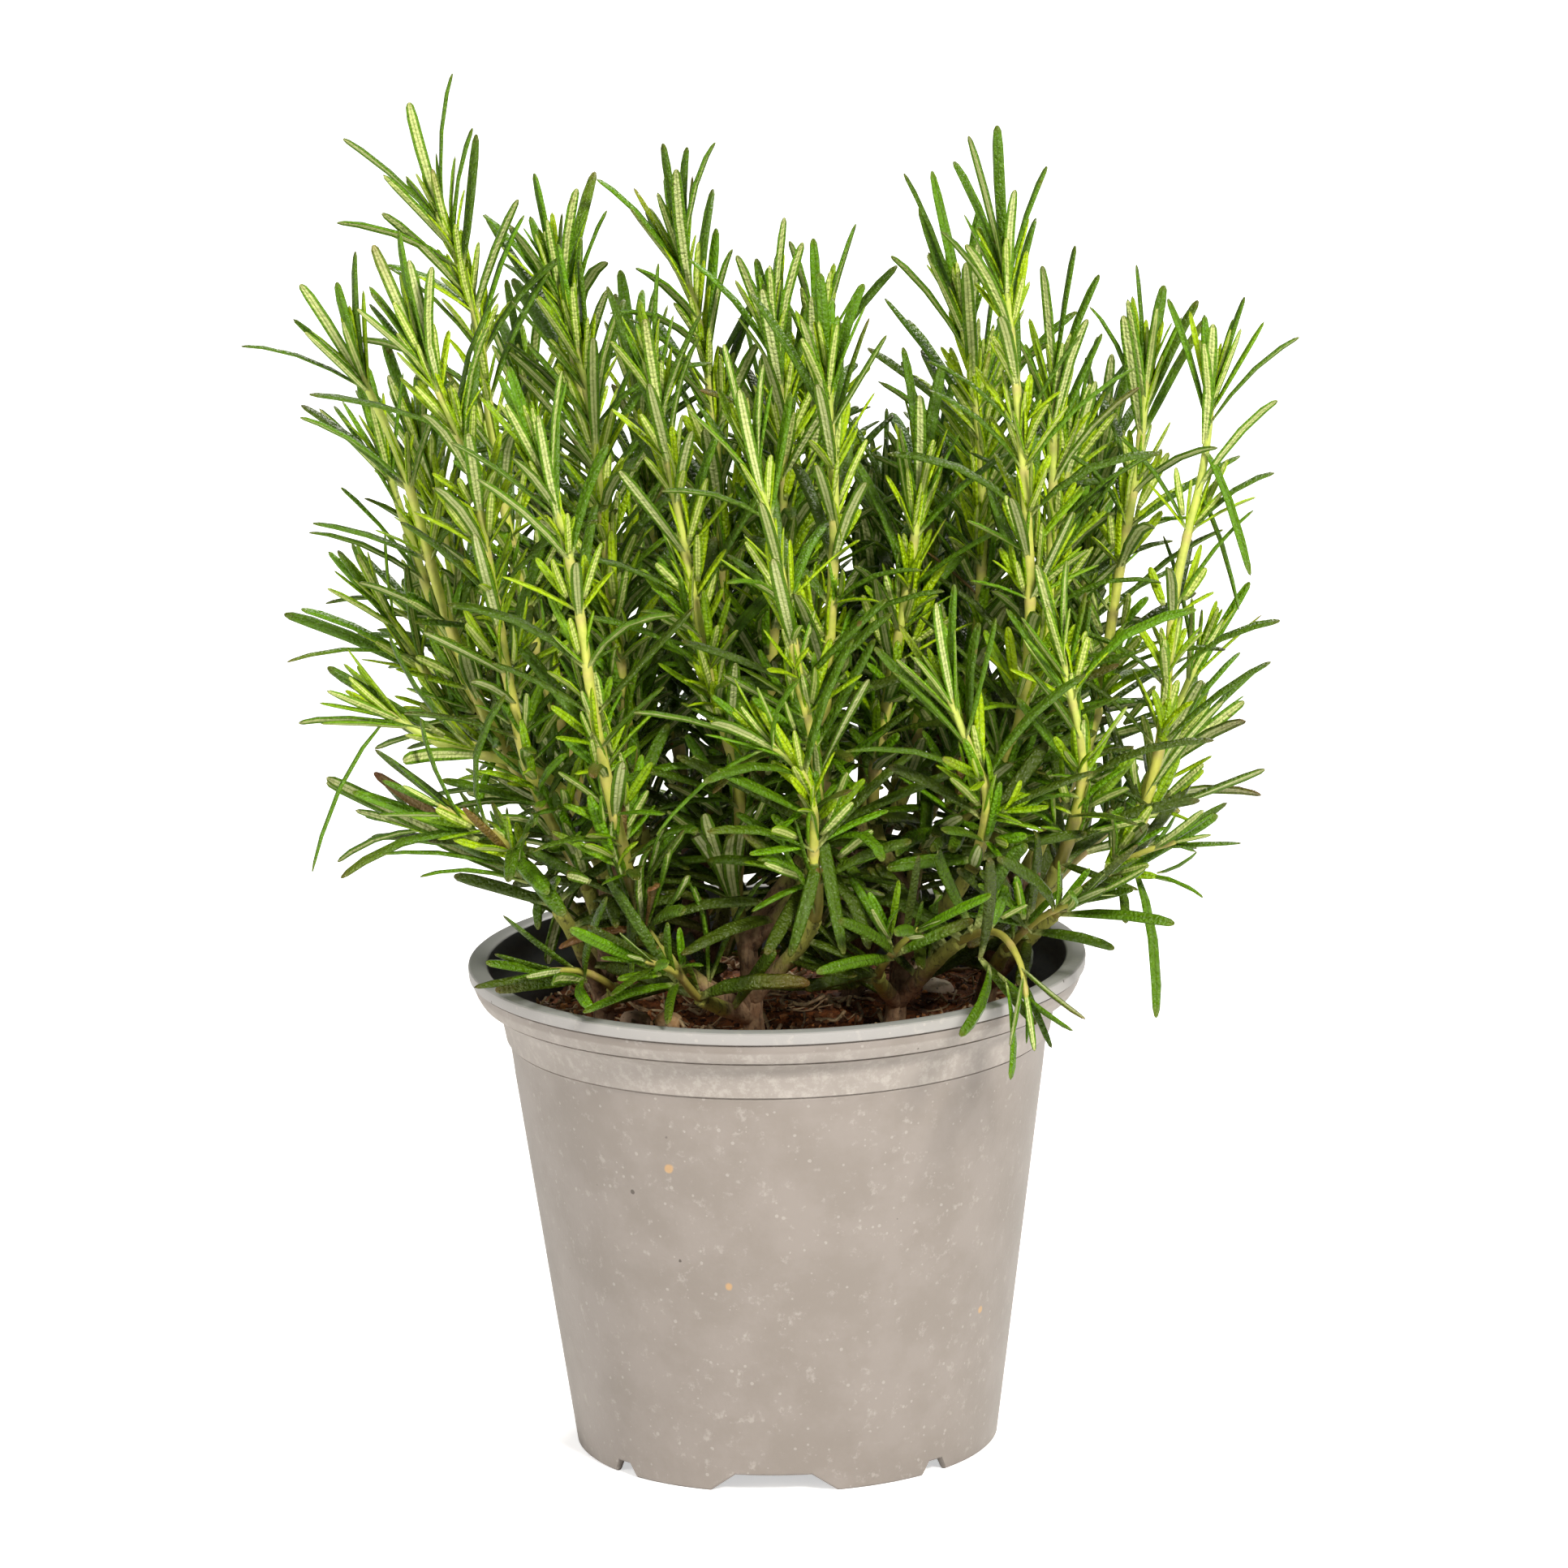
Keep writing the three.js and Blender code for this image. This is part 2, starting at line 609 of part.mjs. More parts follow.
function makeSoil() {
  const ringAt = (radius, heightAt) => {
    const ring = [];
    for (let i = 0; i < SOIL_SIDES; i++) {
      const angle = (2 * Math.PI * i) / SOIL_SIDES;
      const x = radius * Math.cos(angle);
      const y = radius * Math.sin(angle);
      ring.push(new THREE.Vector3(x, y, heightAt(x, y)));
    }
    return ring;
  };
  const [bend, foot] = POT_INSIDE.slice(-2);
  const bottom = foot[1] + SEAT_GAP;
  const rings = [
    ringAt(foot[0] - 1.5 * SEAT_GAP, () => bottom),
    ringAt(bend[0] - 1.5 * SEAT_GAP, () => bend[1]),
    ...SOIL_RINGS.toReversed().map((radius) => ringAt(radius, soilHeight)),
    [new THREE.Vector3(0, 0, soilHeight(0, 0))],
  ];
  const dents = PEBBLES.map((pebble) => pebbleGeometry(pebble, SEAT_GAP));
  const holes = [...CUTTINGS.map(holeOfCutting), ...dents];
  return holes.reduce((soil, hole) => soil.subtract(solidOf(hole)), solidOf(geometryOfRings(rings)));
}

function pebbleGeometry(pebble, growth) {
  const geometry = new THREE.IcosahedronGeometry(1, PEBBLE_DETAIL);
  const [a, b, c] = pebble.half.map((half) => half + growth);
  const position = geometry.attributes.position;
  const point = new THREE.Vector3();
  for (let i = 0; i < position.count; i++) {
    point.fromBufferAttribute(position, i);
    const wide = PEBBLE_DENTS[0] * Math.sin(3 * point.x + 2 * point.y + pebble.turn);
    const narrow = PEBBLE_DENTS[1] * Math.sin(5 * point.y - 3 * point.z);
    const size = 1 - wide - narrow;
    position.setXYZ(i, a * point.x * size, b * point.y * size, c * point.z * size);
  }
  geometry.rotateZ(pebble.turn);
  geometry.translate(...pebble.at);
  return geometry;
}

// Clearance. Everything already placed is kept as round bars.

const bars = [];

function addBar(owner, from, to, radius) {
  const middle = from.clone().add(to).multiplyScalar(0.5);
  bars.push({ owner, from, to, radius, middle, reach: from.distanceTo(to) / 2 + radius });
}

function gapBetween(a, b, c, d) {
  const alongFirst = b.clone().sub(a);
  const alongSecond = d.clone().sub(c);
  const between = a.clone().sub(c);
  const first = alongFirst.lengthSq();
  const second = alongSecond.lengthSq();
  const both = alongFirst.dot(alongSecond);
  const toFirst = alongFirst.dot(between);
  const toSecond = alongSecond.dot(between);
  const spread = first * second - both * both;
  const clamp = (value) => Math.min(Math.max(value, 0), 1);
  let s = spread > 1e-9 ? clamp((both * toSecond - toFirst * second) / spread) : 0;
  let t = (both * s + toSecond) / second;
  if (t < 0 || t > 1) {
    t = clamp(t);
    s = clamp((both * t - toFirst) / first);
  }
  return a.clone().addScaledVector(alongFirst, s).distanceTo(c.clone().addScaledVector(alongSecond, t));
}

function barIsClear(owner, from, to, radius) {
  const middle = from.clone().add(to).multiplyScalar(0.5);
  const reach = from.distanceTo(to) / 2 + radius + LEAF_CLEARANCE;
  return bars.every((bar) => {
    if (bar.owner === owner || bar.middle.distanceTo(middle) > bar.reach + reach) return true;
    return gapBetween(from, to, bar.from, bar.to) > bar.radius + radius + LEAF_CLEARANCE;
  });
}

function radiusAtHeight(outline, z) {
  const sorted = [...outline].sort((a, b) => a[1] - b[1]);
  const i = Math.max(1, sorted.findIndex((point) => point[1] >= z));
  const [low, high] = [sorted[i - 1], sorted[i]];
  return lerp(low[0], high[0], (z - low[1]) / Math.max(high[1] - low[1], 1e-6));
}

// Whether a round bar keeps clear of the pot and the soil. The cove under the
// lip leans by up to 45 degrees.
function barClearsPot(from, to, radius) {
  const margin = radius + LEAF_CLEARANCE;
  const sideways = Math.SQRT2 * margin;
  const steps = 24;
  for (let i = 0; i <= steps; i++) {
    const point = from.clone().lerp(to, i / steps);
    const out = Math.hypot(point.x, point.y);
    if (point.z > POT_HEIGHT + margin) continue;
    const z = Math.min(Math.max(point.z, 1), POT_HEIGHT);
    const inner = radiusAtHeight(POT_INSIDE, Math.max(z, FLOOR_TOP));
    if (out > inner - sideways && out < radiusAtHeight(POT_OUTSIDE, z) + sideways) return false;
    if (out <= inner && point.z < SOIL_TOP + SOIL_BUMP + margin) return false;
  }
  return true;
}

// Leaves. A leaf is an arc from its root on the stem's axis to its tip.

// The stem's frame at a distance from its start, on the axis of its tube
function stemFrame(stem, distance) {
  const at = stem.from + distance;
  const frame = stem.path.at(at);
  const stops = ringStops(stem.from, stem.path.length, STEM_STEP);
  const i = Math.max(0, stops.findLastIndex((stop, j) => stop <= at && j + 1 < stops.length));
  const share = (at - stops[i]) / (stops[i + 1] - stops[i]);
  frame.point = stem.path.at(stops[i]).point.lerp(stem.path.at(stops[i + 1]).point, share);
  return frame;
}

function arcPoint(leaf, share) {
  const rest = 1 - share;
  return leaf.root.clone().multiplyScalar(rest * rest)
    .addScaledVector(leaf.control, 2 * rest * share)
    .addScaledVector(leaf.tip, share * share);
}

function leafGeometry(leaf) {
  const section = (point, along, width, thickness) => {
    const face = leaf.along.clone().addScaledVector(along, -leaf.along.dot(along)).normalize();
    const across = along.clone().cross(face);
    return [
      point.clone().addScaledVector(across, width / 2),
      point.clone().addScaledVector(face, -thickness),
      point.clone().addScaledVector(across, -width / 2),
    ];
  };
  const middle = arcPoint(leaf, 0.5);
  const start = leaf.control.clone().sub(leaf.root).normalize();
  const through = leaf.tip.clone().sub(leaf.root).normalize();
  const rings = [
    section(leaf.root, start, LEAF_ROOT_WIDTH, LEAF_ROOT_THICKNESS),
    section(middle, through, leaf.width, LEAF_THICKNESS),
    [leaf.tip],
  ];
  return geometryOfRings(rings);
}

// A leaf that leaves its stem at a turn about it and a lean away from it
function leafByAngles(frame, turn, lean, bend, length, width) {
  const mix = (a, b, angle) => a.clone().multiplyScalar(Math.cos(angle)).addScaledVector(b, Math.sin(angle));
  const outward = mix(frame.side, frame.across, turn);
  const heading = (angle) => mix(frame.along, outward, angle);
  return {
    root: frame.point,
    control: frame.point.clone().addScaledVector(heading(lean), length / 2 / Math.cos(bend / 2)),
    tip: frame.point.clone().addScaledVector(heading(lean + bend / 2), length),
    along: frame.along,
    width,
  };
}

// A leaf from the stem to a given tip, rooted a leaf's length away from it
function leafToTip(stem, tip, slide, bow) {
  let best = PAIR_START;
  for (let at = PAIR_START; at < stem.path.length - stem.from - 1; at += 1) {
    const miss = (d) => Math.abs(stemFrame(stem, d).point.distanceTo(tip) - LEAF_LENGTH);
    if (miss(at) <= miss(best)) best = at;
  }
  const far = Math.min(best + slide, stem.path.length - stem.from - 1);
  const frame = stemFrame(stem, Math.max(far, PAIR_START / 2));
  const chord = tip.clone().sub(frame.point);
  const control = frame.point.clone().addScaledVector(chord, 0.42);
  control.addScaledVector(frame.along, 0.14 * chord.length());
  control.addScaledVector(frame.along.clone().cross(chord).normalize(), bow);
  return { root: frame.point, control, tip, along: frame.along, width: LEAF_WIDTH };
}

function leafIsClear(owner, leaf) {
  const start = arcPoint(leaf, 0.12);
  const middle = arcPoint(leaf, 0.5);
  const radius = leaf.width / 2;
  const pieces = [[start, middle, radius], [middle, leaf.tip, radius]];
  return pieces.every(([from, to, r]) => barIsClear(owner, from, to, r) && barClearsPot(from, to, r));
}

function keepLeaf(stem, leaf) {
  stem.leaves.push(leaf);
  const middle = arcPoint(leaf, 0.5);
  addBar(stem.owner, leaf.root, middle, leaf.width / 2);
  addBar(stem.owner, middle, leaf.tip, leaf.width / 2);
}

// The first of several tries that is clear of all that is placed
function placeFirstClear(stem, tries) {
  const leaf = tries.find((candidate) => leafIsClear(stem.owner, candidate));
  if (leaf) keepLeaf(stem, leaf);
}

function placeTipLeaves(stem) {
  stem.tips.forEach((tip) => {
    placeFirstClear(stem, TRY_ROOTS.map(([slide, bow]) => leafToTip(stem, vector(tip), slide, bow)));
  });
}

function placeAtTurn(stem, at, turn) {
  const draws = stem.draws;
  const frame = stemFrame(stem, at);
  const height = at / (stem.path.length - stem.from);
  const lean = lerp(...LEAN, height) + LEAN_SPREAD * (draws() - 0.5);
  const bend = radians(lerp(...BEND, height) + BEND_SPREAD * (draws() - 0.5));
  const length = LEAF_LENGTH * (SHORTEST_SHARE + LENGTH_SPREAD * draws());
  const width = lerp(...WIDTH_SHARES, height) * LEAF_WIDTH;
  const ways = [];
  TRY_LENGTHS.forEach((share) => {
    TRY_TURNS.forEach((aside) => {
      TRY_LEANS.forEach((extra) => {
        const start = radians(lean + extra);
        ways.push(leafByAngles(frame, turn + radians(aside), start, bend, length * share, width));
      });
    });
  });
  placeFirstClear(stem, ways.filter((leaf) => LEAF_REACH.containsPoint(leaf.tip)));
}

function placePairs(stem) {
  const length = stem.path.length - stem.from;
  const usable = length - PAIR_START - PAIR_END;
  const count = Math.max(1, Math.round(usable / PAIR_SPACING));
  const first = stem.draws() * Math.PI;
  for (let i = 0; i < count; i++) {
    const at = PAIR_START + (usable * (i + PAIR_SHIFT * stem.draws())) / count;
    const turn = first + (i * Math.PI) / 2 + PAIR_TWIST * (stem.draws() - 0.5);
    placeAtTurn(stem, at, turn);
    placeAtTurn(stem, at, turn + Math.PI);
  }
  for (let i = stem.tips.length; i < TUFT_LEAVES; i++) {
    placeAtTurn(stem, length - PAIR_END / 2, first + TUFT_TURN * i);
  }
}

// Cuttings and stems

// An arm leaves the trunk lower down the further out its stem starts
function forkPoint(cutting, start) {
  const out = Math.hypot(start.x - cutting.top[0], start.y - cutting.top[1]);
  const z = THREE.MathUtils.clamp(start.z - ARM_DROP - ARM_SLOPE * out, LOWEST_FORK, cutting.top[2] - 1);
  return onTrunk(cutting, z);
}

function stemsOfTable() {
  const stems = [];
  STEMS.forEach((entry, i) => {
    const draws = drawsFrom(FIRST_SEED + SEED_STEP * i);
    const route = entry.route.map(vector);
    const fork = forkPoint(CUTTINGS[entry.on], route[0]);
    const path = new Path([fork, ...route]);
    const from = path.firstSpan + SEAT_GAP;
    const main = { owner: entry.name, on: entry.on, path, from, tips: entry.tips, leaves: [], draws };
    stems.push(main);
    (entry.branches ?? []).forEach((branch) => {
      const root = path.at(from + branch.from).point;
      const side = new Path([root, ...branch.route.map(vector)]);
      stems.push({ owner: entry.name, path: side, from: 0, tips: branch.tips, leaves: [], draws });
    });
  });
  return stems;
}

function addTubeBars(owner, path, from, to, radius) {
  const count = Math.ceil((to - from) / BAR_LENGTH);
  for (let i = 0; i < count; i++) {
    const [a, b] = [i, i + 1].map((j) => path.at(lerp(from, to, j / count)).point);
    addBar(owner, a, b, radius);
  }
}

function makeCutting(cutting, index, stems) {
  const foot = onTrunk(cutting, SOIL_TOP - ROOT_DEPTH);
  const trunk = new Path([foot, onTrunk(cutting, SOIL_TOP), vector(cutting.top)]);
  addTubeBars(cutting.name, trunk, 0, trunk.length, TRUNK_RADIUS);
  const pieces = [tubeAlong(trunk, 0, trunk.length, TRUNK_RADIUS, TRUNK_TOP_RADIUS, TRUNK_SIDES, TRUNK_STEP)];
  stems.filter((stem) => stem.on === index).forEach((stem) => {
    const end = stem.path.firstSpan;
    addBar(cutting.name, stem.path.at(0).point, stem.path.at(end).point, ARM_RADIUS);
    pieces.push(tubeAlong(stem.path, 0, end, ARM_RADIUS, ARM_END_RADIUS, ARM_SIDES, end));
  });
  return joined(pieces);
}

function makeStem(stems) {
  const pieces = [];
  stems.forEach((stem) => {
    const end = stem.path.length;
    pieces.push(tubeAlong(stem.path, stem.from, end, STEM_RADIUS, STEM_TOP_RADIUS, STEM_SIDES, STEM_STEP));
    pieces.push(...stem.leaves.map(leafGeometry));
  });
  return joined(pieces);
}

// Colours

const materials = {
  pot: new THREE.MeshStandardMaterial({ color: 0xa8a096, roughness: 0.55, metalness: 0 }),
  soil: new THREE.MeshStandardMaterial({ color: 0x2b1b12, roughness: 1, metalness: 0 }),
  pebble: new THREE.MeshStandardMaterial({ color: 0xb79f86, roughness: 0.85, metalness: 0 }),
  wood: new THREE.MeshStandardMaterial({ color: 0x8a6748, roughness: 0.9, metalness: 0 }),
  leaf: new THREE.MeshStandardMaterial({ color: 0x4f8a22, roughness: 0.45, metalness: 0 }),
};

// The whole plant

const plant = new THREE.Group();

function addPiece(name, solid, material) {
  const mesh = new THREE.Mesh(geometryOf(solid), materials[material]);
  mesh.name = name;
  plant.add(mesh);
}

const stems = stemsOfTable();
const cuttings = CUTTINGS.map((cutting, index) => makeCutting(cutting, index, stems));
stems.forEach((stem) => addTubeBars(stem.owner, stem.path, stem.from, stem.path.length, STEM_RADIUS));
PEBBLES.forEach(({ name, at, half }) => addBar(name, vector(at), vector(at).setZ(SOIL_TOP), half[0]));
stems.forEach(placeTipLeaves);
stems.forEach(placePairs);

addPiece("pot", makePot(), "pot");
addPiece("soil", makeSoil(), "soil");
PEBBLES.forEach((pebble) => addPiece(pebble.name, solidOf(pebbleGeometry(pebble, 0)), "pebble"));
CUTTINGS.forEach((cutting, index) => addPiece(cutting.name, cuttings[index], "wood"));
STEMS.forEach((entry) => {
  addPiece(entry.name, makeStem(stems.filter((stem) => stem.owner === entry.name)), "leaf");
});

export default plant;
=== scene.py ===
"""A rosemary plant in a round grey nursery pot, dressed for rendering.

The pot, the soil, the pebbles, the woody cuttings and every leafy stem of the frame are replaced by
finer pieces of the same form. Lengths inside the classes are millimetres, and meshes are made in metres.
"""

from __future__ import annotations

import itertools
import logging
import math
import random
from dataclasses import dataclass, field
from enum import Enum
from typing import Callable, Iterable, Iterator, Sequence

import bmesh
import bpy
import numpy as np
from mathutils import Euler, Matrix, Vector


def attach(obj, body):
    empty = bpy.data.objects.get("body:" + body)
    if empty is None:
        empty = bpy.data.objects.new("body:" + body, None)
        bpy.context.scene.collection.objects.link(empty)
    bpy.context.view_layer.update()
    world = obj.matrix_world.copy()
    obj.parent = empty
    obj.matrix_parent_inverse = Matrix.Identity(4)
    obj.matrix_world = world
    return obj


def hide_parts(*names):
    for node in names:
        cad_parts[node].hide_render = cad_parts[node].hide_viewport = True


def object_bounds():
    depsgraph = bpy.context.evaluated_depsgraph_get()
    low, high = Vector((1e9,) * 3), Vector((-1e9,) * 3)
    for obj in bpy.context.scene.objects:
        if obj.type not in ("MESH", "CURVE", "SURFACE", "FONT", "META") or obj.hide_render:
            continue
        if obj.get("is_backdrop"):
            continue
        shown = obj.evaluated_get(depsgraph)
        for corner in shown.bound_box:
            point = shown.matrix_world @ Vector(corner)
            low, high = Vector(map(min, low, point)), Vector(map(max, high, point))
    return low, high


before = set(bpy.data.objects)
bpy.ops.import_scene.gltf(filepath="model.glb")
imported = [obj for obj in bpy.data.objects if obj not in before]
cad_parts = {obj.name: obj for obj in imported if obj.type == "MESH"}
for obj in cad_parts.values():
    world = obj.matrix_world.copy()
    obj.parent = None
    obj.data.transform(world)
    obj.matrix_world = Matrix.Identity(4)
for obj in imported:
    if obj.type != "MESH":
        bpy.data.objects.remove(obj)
CAD_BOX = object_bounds()

LOG = logging.getLogger("potted_rosemary")
BODY = "root"
# A stem or leaf whose tip is lower than this counts as low, in millimetres
LOW = 150
METRES = 0.001
# How far a tube's end bulges, in radii
TUBE_CAP = 0.3
Pair = tuple[float, float]
Point = tuple[float, float, float]
Colour = tuple[float, float, float]
Socket = bpy.types.NodeSocket
Material = bpy.types.Material


# Sizes that the plant shares with its frame

SEAT_GAP = 0.35
POT_HEIGHT = 104.5
SOIL_TOP = 91.0
SOIL_BUMP = 1.2
# Radius and height of the pot's walls in the frame
POT_OUTSIDE = ((44.5, 0.0), (55.7, 81.0), (57.7, 90.0), (58.4, 93.6), (59.2, 95.1), (62.0, 97.3),
               (64.3, 100.3), (65.0, 104.5))
POT_INSIDE = ((60.7, 104.5), (60.2, 98.4), (57.3, 94.4), (56.6, 90.0), (54.6, 81.0), (44.2, 5.5))


class Cutting(Enum):
    """The woody cuttings, each with its foot in the soil and the end of its trunk."""

    LEFT = ("woody_cutting_left", (-37, -12), (-34, -7, 122))
    FRONT = ("woody_cutting_front", (-5, -23), (-6, -25, 116))
    FRONT_RIGHT = ("woody_cutting_front_right", (24, -13), (28, -12, 120))
    BACK_LEFT = ("woody_cutting_back_left", (-14, 19), (-18, 18, 122))
    BACK_RIGHT = ("woody_cutting_back_right", (16, 17), (19, 17, 122))
    RIGHT = ("woody_cutting_right", (43, 3), (49, 2, 114))

    @property
    def node(self) -> str:
        """The name of the cutting's node in the frame."""
        return self.value[0]

    @property
    def top(self) -> np.ndarray:
        """The end of the trunk."""
        return np.array(self.value[2], float)

    def on_trunk(self, z: float) -> np.ndarray:
        """The point at a height on the straight trunk.

        Args:
            z: The height in millimetres.

        Returns:
            The point on the trunk's axis.
        """
        x, y = self.value[1]
        top = self.top
        share = (z - SOIL_TOP) / (top[2] - SOIL_TOP)
        return np.array([x + (top[0] - x) * share, y + (top[1] - y) * share, z])


@dataclass(frozen=True)
class Branch:
    """A side shoot: how far up its stem it leaves, its route and its listed leaf tips."""

    start: float
    route: tuple[Point, ...]
    tips: tuple[Point, ...]


@dataclass(frozen=True)
class StemRoute:
    """A leafy stem: its node, the cutting that carries it, its route and its listed leaf tips."""

    node: str
    cutting: Cutting
    route: tuple[Point, ...]
    tips: tuple[Point, ...]
    branches: tuple[Branch, ...] = ()


